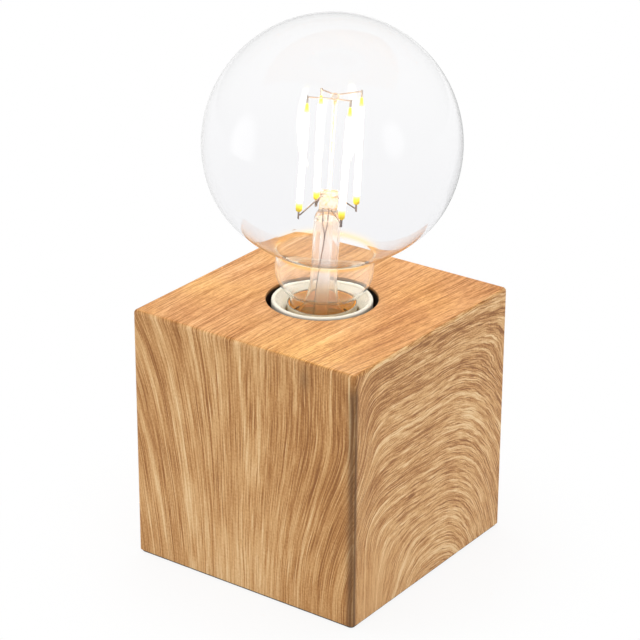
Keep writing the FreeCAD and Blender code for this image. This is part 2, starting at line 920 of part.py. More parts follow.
def envelope(inset):
    """Half outline of the envelope, from the tube's end to the top, inset from the outside."""
    swing = 1 - math.cos(math.radians(ogee_angle))
    outer_ogee = (neck_radius - tube_radius) / swing - ogee_inner_radius
    first_level = rim_level + tube_top
    rise = (ogee_inner_radius + outer_ogee) * math.sin(math.radians(ogee_angle))
    first_centre = (tube_radius + ogee_inner_radius, first_level)
    second_centre = (neck_radius - outer_ogee, first_level + rise)
    globe = (0, rim_level + globe_centre)
    crease_x = neck_radius + crease_radius
    reach = math.sqrt((globe_radius + crease_radius) ** 2 - crease_x ** 2)
    crease = (crease_x, rim_level + globe_centre - reach)
    contact = math.degrees(math.atan2(reach, crease_x))
    return [
        (tube_radius - inset, rim_level - tube_depth),
        (first_centre, ogee_inner_radius + inset, 180, 180 - ogee_angle),
        (second_centre, outer_ogee - inset, -ogee_angle, 0),
        (crease, crease_radius + inset, 180, 180 - contact),
        (globe, globe_radius - inset, -contact, 90),
    ]


def bulb_glass():
    """Clear envelope: tube in the cap, rounded shoulder, short neck and globe."""
    return leaned(turned(envelope(0.0) + backwards(envelope(glass_wall))))


def stadium(width, thickness, level):
    """Wire with rounded ends across the press, with its width along the lean direction."""
    half = thickness / 2
    run = width / 2 - half
    corners = [Vector(-run, -half, level), Vector(run, -half, level),
               Vector(run, half, level), Vector(-run, half, level)]
    right_end = Part.Arc(corners[1], Vector(run + half, 0, level), corners[2]).toShape()
    left_end = Part.Arc(corners[3], Vector(-run - half, 0, level), corners[0]).toShape()
    wire = Part.Wire([joined(corners[0], corners[1]), right_end,
                      joined(corners[2], corners[3]), left_end])
    return wire.rotated(Vector(0, 0, level), Z_AXIS, lean_heading)


def glass_stem():
    """Flared tube that closes the envelope, pinched to a flat press at its top."""
    rim_top = rim_level - tube_depth
    rim_bottom = rim_top - glass_wall
    flare_top = rim_level + flare_start
    crown_top = rim_level + stem_top
    drop = flare_top - rim_top
    spread = tube_radius - glass_wall - flare_gap - stem_radius
    flare_angle = 2 * math.degrees(math.atan2(spread, drop))
    flare_radius = drop / math.sin(math.radians(flare_angle))
    centre = (stem_radius + flare_radius, flare_top)
    flare_end = arc_point(centre, flare_radius + stem_wall, 180 + flare_angle)
    body = turned([
        (flare_end.x, rim_bottom),
        (tube_radius, rim_bottom),
        (tube_radius, rim_top),
        (centre, flare_radius, 180 + flare_angle, 180),
        (stem_radius, crown_top),
        (0, crown_top),
        (0, crown_top - crown_thickness),
        (stem_radius - stem_wall, crown_top - crown_thickness),
        (centre, flare_radius + stem_wall, 180, 180 + flare_angle),
    ])
    circle = Part.Wire(Part.makeCircle(stem_radius, Vector(0, 0, crown_top), Z_AXIS))
    press_base = stadium(press_width, press_thickness, rim_level + press_start)
    shoulder = Part.makeLoft([circle, press_base], True)
    press = Part.Face(press_base).extrude(Vector(0, 0, press_top - press_start))
    press = press.makeFillet(press_rounding, high_edges(press, rim_level + press_top))
    return leaned(fused([body, shoulder, press]))


def exhaust_tube():
    """Thin glass tube inside the stem, sealed at its lower tip."""
    top = rim_level + stem_top - crown_thickness
    bottom = rim_level + exhaust_end
    shoulder = bottom + exhaust_tip_length
    body = tube(exhaust_radius, exhaust_radius - exhaust_wall, shoulder, top)
    tip = Part.makeCone(exhaust_radius * exhaust_tip_share, exhaust_radius, exhaust_tip_length,
                        Vector(0, 0, bottom), Z_AXIS)
    return leaned(body.fuse(tip))


def centre_rod():
    """Glass rod on the press with the bead that holds the top wires."""
    rod = cylinder(rod_radius, rim_level + press_top, rim_level + rod_top)
    bead = Part.makeSphere(bead_radius, Vector(0, 0, rim_level + rod_top))
    return leaned(rod.fuse(bead))


# ---------------------------------------------------------------- filaments and wires

def filament_ends(index):
    """Foot and head of a filament's body in the bulb's frame."""
    foot_u, foot_v = polar(filament_foot_reaches[index], filament_foot_angles[index])
    head_u, head_v = polar(filament_head_reaches[index], filament_head_angles[index])
    return bulb_point(foot_u, foot_v, filament_foot), bulb_point(head_u, head_v, filament_head)


def filament_run(index):
    """Unit direction of a filament, from its foot to its head."""
    foot, head = filament_ends(index)
    run = head - foot
    run.normalize()
    return run


def led_filament(index):
    """One LED filament: a coated strip with rounded ends."""
    foot, head = filament_ends(index)
    run = filament_run(index)
    start = foot + run * filament_radius
    end = head - run * filament_radius
    rod = Part.makeCylinder(filament_radius, start.distanceToPoint(end), start, run)
    return leaned(fused([rod, Part.makeSphere(filament_radius, start),
                         Part.makeSphere(filament_radius, end)]))


def inwards(point):
    """Unit direction from a point of the bulb straight towards its axis."""
    direction = Vector(-point.x, -point.y, 0)
    direction.normalize()
    return direction


def filament_tabs():
    """Flat metal tabs at both ends of each filament."""
    tabs = []
    for index in range(filament_count):
        foot, head = filament_ends(index)
        run = filament_run(index)
        for end, direction in ((foot, run * -1), (head, run)):
            depth = inwards(end) * tab_thickness
            across = inwards(end).cross(Z_AXIS) * tab_width
            corner = end - across / 2 - depth / 2
            corners = [corner, corner + across, corner + across + depth, corner + depth]
            face = Part.Face(Part.makePolygon(corners + corners[:1]))
            tabs.append(face.extrude(direction * tab_length))
    return leaned(Part.makeCompound(tabs))


def tab_contact(point):
    """Place of a wire's end against the inner face of a tab."""
    return point + inwards(point) * (tab_thickness / 2 + wire_radius + fit_gap)


def top_support_wires():
    """Two wires that cross in the bead: first filament to last, second to last but one."""
    wires = []
    for first, offset in enumerate(cross_wire_offsets):
        ends = []
        for index in (first, filament_count - 1 - first):
            foot, head = filament_ends(index)
            ends.append(tab_contact(head + filament_run(index) * head_wire_rise))
        middle = Vector(0, 0, rim_level + rod_top + offset)
        wires.append(wire_along([ends[0], middle, ends[1]], wire_radius))
    return leaned(Part.makeCompound(wires))


def foot_support_wires():
    """Four wires from the press to the filaments' feet."""
    wires = []
    for index in range(filament_count):
        foot, head = filament_ends(index)
        end = tab_contact(foot - filament_run(index) * (tab_length / 2))
        height = foot_wire_heights[index]
        root_reach = foot_wire_root_reaches[index]
        root_angle = foot_wire_root_angles[index]
        grip_u, grip_v = polar(root_reach - wire_grip, root_angle)
        root_u, root_v = polar(root_reach, root_angle)
        start = bulb_point(grip_u, grip_v, height)
        bend = bulb_point(root_u, root_v, height)
        wires.append(wire_along([start, bend, end], wire_radius))
    return leaned(Part.makeCompound(wires))


def lead_wires():
    """Two leads that close up below the press and run down to the driver."""
    wires = []
    half_spacing = wire_radius + fit_gap
    top_h = stem_top - crown_thickness - 2 * wire_radius
    end_h = driver_top - rim_level + wire_radius + fit_gap
    for sign in (-1, 1):
        start = bulb_point(lead_top_u + sign * lead_top_spread, lead_side, top_h)
        join = bulb_point(lead_join_u + sign * half_spacing, lead_side, lead_join_height)
        end = bulb_point(lead_end_u + sign * half_spacing, lead_side, end_h)
        wires.append(wire_along([start, join, end], wire_radius))
    return leaned(Part.makeCompound(wires))


# ---------------------------------------------------------------- build

def build():
    """Write every sub-part of the lamp."""
    os.makedirs("parts", exist_ok=True)
    foot_wires = foot_support_wires()
    top_wires = top_support_wires()
    lamp = case_boards()
    lamp.update({
        "corner_blocks": corner_blocks(),
        "base_plate": base_plate(),
        "base_pad": base_pad(),
        "base_screws": base_screws(),
        "cable_bush": cable_bush(),
        "lampholder_skirt": lampholder_skirt(),
        "lampholder_dome": lampholder_dome(),
        "contact_block": contact_block(),
        "thread_sleeve": thread_sleeve(),
        "sleeve_rivets": sleeve_rivets(),
        "centre_contact": centre_contact(),
        "terminals": terminals(),
        "terminal_screws": terminal_screws(),
        "threaded_nipple": threaded_nipple(),
        "lock_nut": lock_nut(),
        "toothed_washer": toothed_washer(),
        "holder_bracket": holder_bracket(),
        "bracket_screws": bracket_screws(),
        "tip_contact": tip_contact(),
        "screw_cap": screw_cap(),
        "cap_insulator": cap_insulator(),
        "cap_cement": cap_cement(),
        "driver_board": driver_board(),
        "driver_capacitor": driver_capacitor(),
        "driver_chip": driver_chip(),
        "driver_resistor": driver_resistor(),
        "bulb_glass": bulb_glass(),
        "glass_stem": glass_stem().cut(foot_wires),
        "exhaust_tube": exhaust_tube(),
        "centre_rod": centre_rod().cut(top_wires),
        "top_support_wires": top_wires,
        "foot_support_wires": foot_wires,
        "lead_wires": lead_wires(),
        "filament_tabs": filament_tabs(),
    })
    for index in range(filament_count):
        lamp["led_filament_" + str(index + 1)] = led_filament(index)
    for node, shape in lamp.items():
        save(shape, node)


build()
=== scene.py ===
# %% [markdown]
# A bare bulb table lamp: a cube of mitred wooden boards with a screw lampholder sunk in its
# top, and a clear globe bulb with four LED filaments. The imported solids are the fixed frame.
# They already have the right shape and place, so this lesson gives them their finishes, and
# models again only what needs more than a finish: the glass, the leads, the filaments, the
# rolled threads and the felt pad.

# %% Load the frame
from functools import reduce
import math
import bmesh
import bpy
from mathutils import Matrix, Vector, noise


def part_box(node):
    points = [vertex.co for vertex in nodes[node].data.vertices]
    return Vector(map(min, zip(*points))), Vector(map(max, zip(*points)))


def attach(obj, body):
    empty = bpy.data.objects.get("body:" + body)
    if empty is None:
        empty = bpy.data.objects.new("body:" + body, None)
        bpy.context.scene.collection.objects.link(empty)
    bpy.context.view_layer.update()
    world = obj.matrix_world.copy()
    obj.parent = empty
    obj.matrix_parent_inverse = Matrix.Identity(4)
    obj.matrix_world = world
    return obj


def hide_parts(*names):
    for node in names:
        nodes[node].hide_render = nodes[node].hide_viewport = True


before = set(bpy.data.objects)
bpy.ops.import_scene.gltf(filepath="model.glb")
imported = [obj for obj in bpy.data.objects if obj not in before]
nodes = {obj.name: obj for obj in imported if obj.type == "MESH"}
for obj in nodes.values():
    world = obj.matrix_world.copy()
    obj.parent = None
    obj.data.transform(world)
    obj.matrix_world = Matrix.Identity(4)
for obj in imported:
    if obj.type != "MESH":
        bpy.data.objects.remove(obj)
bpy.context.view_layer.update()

MM = 0.001

# %% [markdown]
# A finish is a network of small sums, and drawing each one as a node call hides the idea. The
# class below wraps a socket so that plain arithmetic adds the Math nodes. It works the same
# in a material and in a Geometry Nodes tree, because both use the same Math node.


# %% A socket that takes part in arithmetic
def math_node(operation):
    """Method that adds one Math node, fed by this field and any others."""
    def method(field, *others):
        inputs = dict(enumerate((field,) + others))
        return field.graph.add("ShaderNodeMath", {"operation": operation}, inputs)
    return method


class Field:
    """A number, vector or colour on its way through a node tree."""

    __add__ = __radd__ = math_node("ADD")
    __sub__ = math_node("SUBTRACT")
    __mul__ = __rmul__ = math_node("MULTIPLY")
    __truediv__ = math_node("DIVIDE")
    __pow__ = math_node("POWER")
    size = math_node("ABSOLUTE")
    least = math_node("MINIMUM")
    most = math_node("MAXIMUM")
    below = math_node("LESS_THAN")
    fraction = math_node("FRACT")
    exponent = math_node("EXPONENT")
    sine = math_node("SINE")
    cosine = math_node("COSINE")

    def __init__(self, graph, socket):
        self.graph = graph
        self.socket = socket

    def out(self, key):
        """Another output of the same node."""
        return Field(self.graph, self.socket.node.outputs[key])

    def __rsub__(self, other):
        return (self * -1) + other

    def ramp(self, start, end):
        """Smooth step from 0 at start to 1 at end, whichever of the two is larger."""
        settings = {"interpolation_type": "SMOOTHSTEP"}
        low, high, first, last = (start, end, 0.0, 1.0) if start < end else (end, start, 1.0, 0.0)
        inputs = {"Value": self, "From Min": low, "From Max": high,
                  "To Min": first, "To Max": last}
        return self.graph.add("ShaderNodeMapRange", settings, inputs)

    def bell(self, centre, width):
        """A soft bump of height 1 around centre."""
        return ((((self - centre) / width) ** 2) * -1).exponent()

    def switch(self, when_zero, when_one):
        """Blend of two numbers, with this one as the mask."""
        return when_zero + (when_one - when_zero) * self


# %% [markdown]
# Any node that isn't a sum comes from one method. It takes the node's type, its settings,
# which are set first because some of them change the sockets, and then the sockets' values,
# and gives back the node's first output.


# %% A small builder for node trees
class Graph:
    """Adds nodes to one tree."""

    def __init__(self, tree):
        self.tree = tree

    def add(self, kind, settings=None, inputs=None):
        node = self.tree.nodes.new(kind)
        for name, value in (settings or {}).items():
            if name == "stops":
                fill_ramp(node.color_ramp, value)
            else:
                setattr(node, name, value)
        for key, value in (inputs or {}).items():
            if isinstance(value, Field):
                self.tree.links.new(value.socket, node.inputs[key])
            else:
                node.inputs[key].default_value = value
        return Field(self, node.outputs[0] if node.outputs else None)

    def vector(self, x, y, z):
        return self.add("ShaderNodeCombineXYZ", inputs={0: x, 1: y, 2: z})

    def noise(self, vector, scale=1.0, detail=2.0, roughness=0.5):
        inputs = {"Vector": vector, "Scale": scale, "Detail": detail, "Roughness": roughness}
        return self.add("ShaderNodeTexNoise", inputs=inputs)

    def blend(self, factor, first, second, kind="MIX"):
        """Mix of two colours."""
        settings = {"data_type": "RGBA", "blend_type": kind}
        inputs = {0: factor, 6: first, 7: second}
        return self.add("ShaderNodeMix", settings, inputs).out(2)

    def colours(self, value, stops):
        """Colour ramp through (position, colour) stops."""
        return self.add("ShaderNodeValToRGB", {"stops": stops}, {"Fac": value})

    def bump(self, height, strength, distance):
        """Normal of a surface that rises and falls with height, by a distance in millimetres."""
        inputs = {"Height": height, "Strength": strength, "Distance": distance * MM}
        return self.add("ShaderNodeBump", inputs=inputs)

    def glow(self, strength):
        return self.add("ShaderNodeEmission", inputs={"Color": WHITE, "Strength": strength})

    def mix_shaders(self, factor, first, second):
        return self.add("ShaderNodeMixShader", inputs={0: factor, 1: first, 2: second})

    def rays(self, *kinds):
        """1 for rays of one of these kinds, 0 for all others."""
        path = self.add("ShaderNodeLightPath")
        return reduce(Field.most, [path.out("Is " + kind + " Ray") for kind in kinds])

    def parts(self, vector):
        """The three numbers of a vector."""
        split = self.add("ShaderNodeSeparateXYZ", inputs={0: vector})
        return [split.out(index) for index in range(3)]

    def place(self):
        """Object coordinates in millimetres."""
        whole = self.add("ShaderNodeTexCoord").out("Object")
        return [part * (1 / MM) for part in self.parts(whole)]


# %% Colours, materials and objects
WHITE = (1.0, 1.0, 1.0, 1.0)


def fill_ramp(ramp, stops):
    """Set a colour ramp's stops."""
    while len(ramp.elements) < len(stops):
        ramp.elements.new(1.0)
    for element, (position, colour) in zip(ramp.elements, stops):
        element.position = position
        element.color = colour


def paint(red, green, blue):
    """Linear colour from the 0 to 255 numbers of a paint chart."""
    def linear(value):
        share = value / 255
        return share / 12.92 if share <= 0.04045 else ((share + 0.055) / 1.055) ** 2.4
    return linear(red), linear(green), linear(blue), 1.0


def empty_graph(owner):
    """Graph of a material or a world, with nothing in it yet."""
    owner.use_nodes = True
    owner.node_tree.nodes.clear()
    return Graph(owner.node_tree)


def finish(name, inputs, build):
    """Material with one Principled shader: fixed inputs, and those that build() works out."""
    material = bpy.data.materials.new(name)
    graph = empty_graph(material)
    shader = graph.add("ShaderNodeBsdfPrincipled", inputs={**inputs, **build(graph)})
    graph.add("ShaderNodeOutputMaterial", inputs={"Surface": shader})
    return material


def dress(material, *names):
    """Give a finish to solids of the frame."""
    for name in names:
        slots = nodes[name].data.materials
        for index in range(len(slots)):
            slots[index] = material
        print(name, "is finished in", material.name)


def put(name, data):
    """New object of the scene, made of a mesh, curve, lamp or camera."""
    thing = bpy.data.objects.new(name, data)
    bpy.context.scene.collection.objects.link(thing)
    return thing


# %% [markdown]
# The camera comes first, because everything else is judged through it. It stands 93 cm away,
# turned 35.6 degrees from the front and 23.6 degrees up, with a long lens. The rotation's
# columns are the camera's own right, up and backward directions.

# %% Camera
AZIMUTH = math.radians(35.644)
ELEVATION = math.radians(23.612)
ROLL = math.radians(0.276)
DISTANCE = 0.93042
LENS = 137.73
SENSOR = 36.0
AIM_HEIGHT = 0.050
AIM_RIGHT = -0.00058
AIM_UP = 0.038497
NEAREST, FARTHEST = 0.01, 50.0

backward = Vector((math.sin(AZIMUTH) * math.cos(ELEVATION),
                   -math.cos(AZIMUTH) * math.cos(ELEVATION), math.sin(ELEVATION)))
level_right = Vector((0, 0, 1)).cross(backward).normalized()
level_up = backward.cross(level_right)
right = level_right * math.cos(ROLL) + level_up * math.sin(ROLL)
up = level_up * math.cos(ROLL) - level_right * math.sin(ROLL)
spot = right * AIM_RIGHT + up * AIM_UP + backward * DISTANCE + Vector((0, 0, AIM_HEIGHT))

camera = put("camera", bpy.data.cameras.new("camera"))
camera.data.lens = LENS
camera.data.sensor_width = SENSOR
camera.data.clip_start = NEAREST
camera.data.clip_end = FARTHEST
turn = Matrix((right, up, backward)).transposed().to_4x4()
camera.matrix_world = Matrix.Translation(spot) @ turn
bpy.context.scene.camera = camera
bpy.context.scene.view_settings.view_transform = "Standard"
print("camera at", [round(value, 3) for value in spot])

# %% [markdown]
# The light is a plain white studio: an even sky, a large soft lamp overhead and a weaker one
# on each side. A lamp's power grows with its size, so it is written per square metre. Clear
# glass shows only what is around it, so the sky is a little darker for rays that the glass
# mirrors, which draws the thin grey edge of the globe.

# %% Sky
SKY_LIGHT = 0.80
SKY_MIRRORED = 0.62
world = bpy.data.worlds.new("studio")
bpy.context.scene.world = world
sky = empty_graph(world)
seen = sky.rays("Camera", "Transmission")
unseen = sky.rays("Glossy").switch(SKY_LIGHT, SKY_MIRRORED)
background = sky.add("ShaderNodeBackground",
                     inputs={"Color": WHITE, "Strength": seen.switch(unseen, 1.0)})
sky.add("ShaderNodeOutputWorld", inputs={"Surface": background})

# %% [markdown]
# The lamps light the object but aren't mirrored in it, because their hard corners would show
# in the globe. Soft cards take their place there, which only mirrored rays see, and which fade
# out towards their edges: two bright windows at the sides, and a grey one close behind on the
# right, which the glass mirrors at its lower right-hand edge.

# %% Lamps
GLOBE_CENTRE = Vector((0, 0, 0.16))


def facing_object(spot):
    """Matrix that puts something at a spot and turns its -Z towards the globe."""
    aim = GLOBE_CENTRE - Vector(spot)
    return Matrix.Translation(spot) @ aim.to_track_quat("-Z", "Y").to_matrix().to_4x4()


def soft_lamp(name, spot, size, radiance):
    """Soft rectangular lamp that faces the object."""
    data = bpy.data.lights.new(name, "AREA")
    data.shape = "RECTANGLE"
    data.size, data.size_y = size
    data.energy = radiance * size[0] * size[1]
    lamp = put(name, data)
    lamp.matrix_world = facing_object(spot)
    lamp.visible_glossy = False
    lamp.visible_transmission = False
    print(name, "at", spot, "gives", round(data.energy, 2), "watts")


soft_lamp("overhead lamp", spot=(-0.2, 0.1, 1.4), size=(0.9, 0.9), radiance=7.0)
soft_lamp("left lamp", spot=(-1.3, -0.9, 0.7), size=(0.5, 0.9), radiance=5.0)
soft_lamp("right lamp", spot=(1.5, -0.3, 0.6), size=(0.4, 0.8), radiance=5.5)

# %% Windows
CORNERS = ((-1, -1), (1, -1), (1, 1), (-1, 1))
PANE_FADE = (1.0, 0.1)


def flat_card(name, half_width, half_height, level, material):
    """Mesh of one rectangle around the origin."""
    mesh = bpy.data.meshes.new(name)
    points = [(x * half_width, y * half_height, level) for x, y in CORNERS]
    mesh.from_pydata(points, [], [(0, 1, 2, 3)])
    mesh.materials.append(material)
    return mesh


def pane_material(name, light):
    """Glow of a strength in the middle of a card that fades to nothing at its edge."""
    material = bpy.data.materials.new(name)
    pane = empty_graph(material)
    pane_x, pane_y = pane.parts(pane.add("ShaderNodeUVMap"))[:2]
    from_middle = ((pane_x - 0.5) * 2) ** 2 + ((pane_y - 0.5) * 2) ** 2
    fade = from_middle.ramp(*PANE_FADE)
    clear = pane.add("ShaderNodeBsdfTransparent")
    mixed = pane.mix_shaders(fade, clear, pane.glow(fade * light))
    pane.add("ShaderNodeOutputMaterial", inputs={"Surface": mixed})
    return material


def window(name, material, toward, distance, width, height):
    """Card seen from the globe in a direction given as shares of right, up and backward."""
    way = (right * toward[0] + up * toward[1] + backward * toward[2]).normalized()
    card = put(name, flat_card(name, width / 2, height / 2, 0.0, material))
    uv = card.data.uv_layers.new(name="pane")
    for loop, (x, y) in zip(uv.data, CORNERS):
        loop.uv = ((x + 1) / 2, (y + 1) / 2)
    card.matrix_world = facing_object(GLOBE_CENTRE + way * distance)
    card.visible_camera = False
    card.visible_diffuse = False
    card.visible_transmission = False
    card.visible_shadow = False


bright = pane_material("window glow", light=4.0)
window("left window", bright, toward=(-0.98, -0.02, 0.12), distance=1.2, width=0.9, height=1.3)
window("right window", bright, toward=(0.80, 0.0, 0.60), distance=1.3, width=0.7, height=1.0)
window("right shade", pane_material("shade", light=0.60), toward=(0.36, -0.14, -0.93),
       distance=0.3, width=0.34, height=0.34)

# %% [markdown]
# The floor is white and keeps a soft shadow under the lamp. For rays that look straight at it,
# or through the glass, part of its white is glow of strength 1, more of it further out, so the
# floor runs into the white background without an edge. Its underside is clear, so the felt pad
# can be looked at from below, and it lies a hair under the pad so that the two don't flicker.

# %% Floor
FLOOR_HALF = 6.0
FLOOR_LEVEL = -0.05 * MM
FLOOR_WHITE = (0.93, 0.93, 0.93, 1.0)
GLOW_NEAR = 0.87
SHADOW_REACH = (70, 130)

floor_paint = bpy.data.materials.new("white floor")
ground = empty_graph(floor_paint)
ground_x, ground_y = ground.place()[:2]
reach = (ground_x ** 2 + ground_y ** 2) ** 0.5
looked_at = ground.rays("Camera", "Transmission", "Glossy")
glow_share = looked_at * (GLOW_NEAR + (1 - GLOW_NEAR) * reach.ramp(*SHADOW_REACH))
matt = ground.add("ShaderNodeBsdfDiffuse", inputs={"Color": FLOOR_WHITE})
mixed = ground.mix_shaders(glow_share, matt, ground.glow(1.0))
from_below = ground.add("ShaderNodeNewGeometry").out("Backfacing")
unseen_side = ground.add("ShaderNodeBsdfTransparent")
one_sided = ground.mix_shaders(from_below, mixed, unseen_side)
ground.add("ShaderNodeOutputMaterial", inputs={"Surface": one_sided})
floor = put("floor", flat_card("floor", FLOOR_HALF, FLOOR_HALF, FLOOR_LEVEL, floor_paint))

# %% [markdown]
# The case is wrapped in a light oak print. On the front it runs down in fine streaks that
# draw together towards the bottom, on the top it runs straight back, and on the two sides it
# makes tall nested arches. Each face gets two coordinates in millimetres: one that counts the
# grain lines, and one that runs along them. All the streaks are then noise that is fine in
# the first and very long in the second.

# %% The case's size, from the frame
case_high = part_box("top_board")[1]
half_x = case_high.x / MM
half_y = case_high.y / MM
top_level = case_high.z / MM
print("case half width", round(half_x, 2), "top at", round(top_level, 2))

# %% Grain lines of the front, top and back
LEFT_PULL = (1.25, 0.45)
RIGHT_PULL = 0.55
TOP_SPREAD = 0.003
BACK_PULL = 0.8
WANDER = 2.6


def wrapped_grain(graph, x, down, from_front, on_top, on_back):
    """Grain line and place along it, where the sheet runs up the front and over the top."""
    to_right = x.ramp(-6, 6)
    share = (down / 100).most(0.0).least(1.0)
    left_pull = share * LEFT_PULL[0] - (share ** 2) * LEFT_PULL[1]
    right_pull = share.ramp(0.25, 0.95) * RIGHT_PULL
    front_pull = to_right.switch(left_pull, right_pull) + 1.0
    top_pull = (from_front * TOP_SPREAD * to_right + 1.0) ** -1
    pull = on_back.switch(on_top.switch(front_pull, top_pull), BACK_PULL)
    along = on_back.switch(on_top.switch(down, from_front * -1), -100 - down)
    wander = graph.noise(graph.vector(x * 0.05, along * 0.022, 3.0), detail=1.0) - 0.5
    return x * pull + wander * WANDER, along


# %% Grain lines of the two sides
ARCH_CENTRE = 52.4
ARCH_FOOT = 140.3
LEFT_SPREAD = (2.64, 0.80)
RIGHT_SPREAD = (1.80, 0.90)
LEFT_POWER = (2.4, 11.0)
RIGHT_POWER = 2.5
ARCH_WANDER = 3.0
ARCH_JITTER = 1.15


def arched_grain(graph, across, down):
    """Grain line of nested arches around a foot below the face, boxier on their left."""
    offset = across - ARCH_CENTRE
    at_right = offset.ramp(-2, 2)
    left = LEFT_SPREAD[0] - LEFT_SPREAD[1] * down.ramp(25, 70)
    right = RIGHT_SPREAD[0] - RIGHT_SPREAD[1] * down.ramp(34, 0)
    wide = (offset * at_right.switch(left, right)).size()
    tall = (ARCH_FOOT - down).most(0.5)
    rough_size = (wide ** 4 + tall ** 4) ** 0.25
    left_power = LEFT_POWER[0] + LEFT_POWER[1] * rough_size.ramp(50, 115)
    power = at_right.switch(left_power, RIGHT_POWER)
    wander = graph.noise(graph.vector(across * 0.035, down * 0.06, 7.0), detail=2.0) - 0.5
    jitter = graph.noise(graph.vector(across * 0.16, down * 0.5, 1.0), detail=3.0) - 0.5
    arch = (wide ** power + tall ** power) ** (power ** -1)
    return arch + wander * ARCH_WANDER + jitter * ARCH_JITTER


# %% [markdown]
# The streaks come in four widths: fibres under half a millimetre, lines a little over one, the
# year rings, each paler on one side and dark on the other, and broad tones. A few wide pale lines,
# broad shades and a dark knot mark are placed one by one, because the eye remembers them.
# A pale line has a centre in millimetres of grain line, how far it drifts off that line per
# millimetre down, a width, a strength, and the levels between which it fades out. The front
# right-hand edge, where the front's print meets the side's, is darker in two ragged bands: partly
# a dark stripe of the print and partly painted shade of the rounded edge. A pair of shares is for
# the front and the top first, then for the sides.

# %% Marks of the oak print
ALL_DOWN = (300, 301)
PALE_LINES = ((-41.4, 0.0, 2.3, 0.9, ALL_DOWN), (-40.0, 0.0, 0.7, 1.0, ALL_DOWN),
              (-1.4, 0.09, 1.1, 1.0, (46, 62)), (6.4, 0.05, 0.6, 0.8, (50, 70)),
              (39.6, 0.0, 0.7, 0.9, ALL_DOWN), (47.6, 0.02, 0.8, 0.8, ALL_DOWN),
              (-74.0, 0.12, 2.0, 0.7, ALL_DOWN), (-25.4, 0.0, 1.6, 0.9, (0, 26)),
              (-54.0, 0.0, 0.8, 0.5, ALL_DOWN), (24.5, 0.0, 0.6, 0.5, (20, 40)))
PALE_ARCHES = ((108.4, 0.9, 1.0), (83.8, 0.5, 0.8), (114.3, 0.5, 0.8), (129.0, 0.4, 0.6),
               (124.2, 0.5, 0.9), (133.4, 0.4, 0.6), (139.2, 1.3, 0.8), (71.0, 0.8, 0.5),
               (59.0, 0.9, 0.8), (54.0, 0.5, 0.6), (48.0, 1.2, 0.6))
OAK_TONES = ((0.10, paint(142, 88, 34)), (0.34, paint(179, 124, 65)),
             (0.52, paint(203, 153, 95)), (0.70, paint(220, 175, 119)),
             (0.92, paint(236, 202, 152)))
TOP_TINT = (1.03, 0.935, 0.945, 1.0)
TOP_YELLOW_AND_SHEEN = (1.12, 1.06, 0.80, 1.0)
KNOT_AND_EDGE_SHADE = paint(96, 62, 28)
BARE_WOOD = paint(176, 142, 104)
HOLE_EDGE = paint(150, 104, 60)
HOLE_SHADE = paint(20, 15, 12)
HOLE_RADIUS = 21.0
RING_WIDTH = 1.35
RING_DRIFT = 4.0
RING_DEPTH = 0.30
MIDDLE_TONE = 0.55
LINE_SHARE = 0.95
FIBRE_SHARES = (1.05, 1.75)
TONE_SHARES = (0.6, 0.35)
GRIT_SHARE = 0.4
CLOUD_SHARE = 0.15
PALE_SHARE = 0.34
PRINT_DEPTH = (1.9, 2.3)


def broad_tones_and_shade(x, across, down, calm, upright, on_side, on_top):
    """Wide lighter and darker areas of the front, sides and top: print tone and painted light and
    shade.
    """
    front = x.bell(-46.0, 12.0) * down.ramp(90, 50) * -0.08 - x.bell(-36.0, 14.0) * 0.05
    front = front - x.bell(38.0, 18.0) * (0.12 + 0.07 * down.bell(42.0, 20.0))
    front = front + down.ramp(55, 100) * x.bell(-5.0, 28.0) * 0.20
    side = down.ramp(28, 6) * -0.08 - across.bell(0.0, 16.0) * 0.09
    side = side + across.bell(72.0, 20.0) * down.ramp(20, 50) * 0.09 + calm * 0.05
    return front * upright + side * on_side - x.bell(46.0, 14.0) * on_top * 0.08


def edge_stripe_and_shade(graph, z, turn_side):
    """Two ragged dark bands along the front right-hand edge: a print stripe and painted shade."""
    ragged = graph.noise(graph.vector(z * 0.06, turn_side * 0.5, 0.0), detail=2.0)
    edge_band_and_shade = turn_side.bell(-0.9, 1.0) * (0.65 + ragged * 0.5)
    return edge_band_and_shade.most(turn_side.bell(0.9, 1.9) * (0.5 + ragged * 0.6))


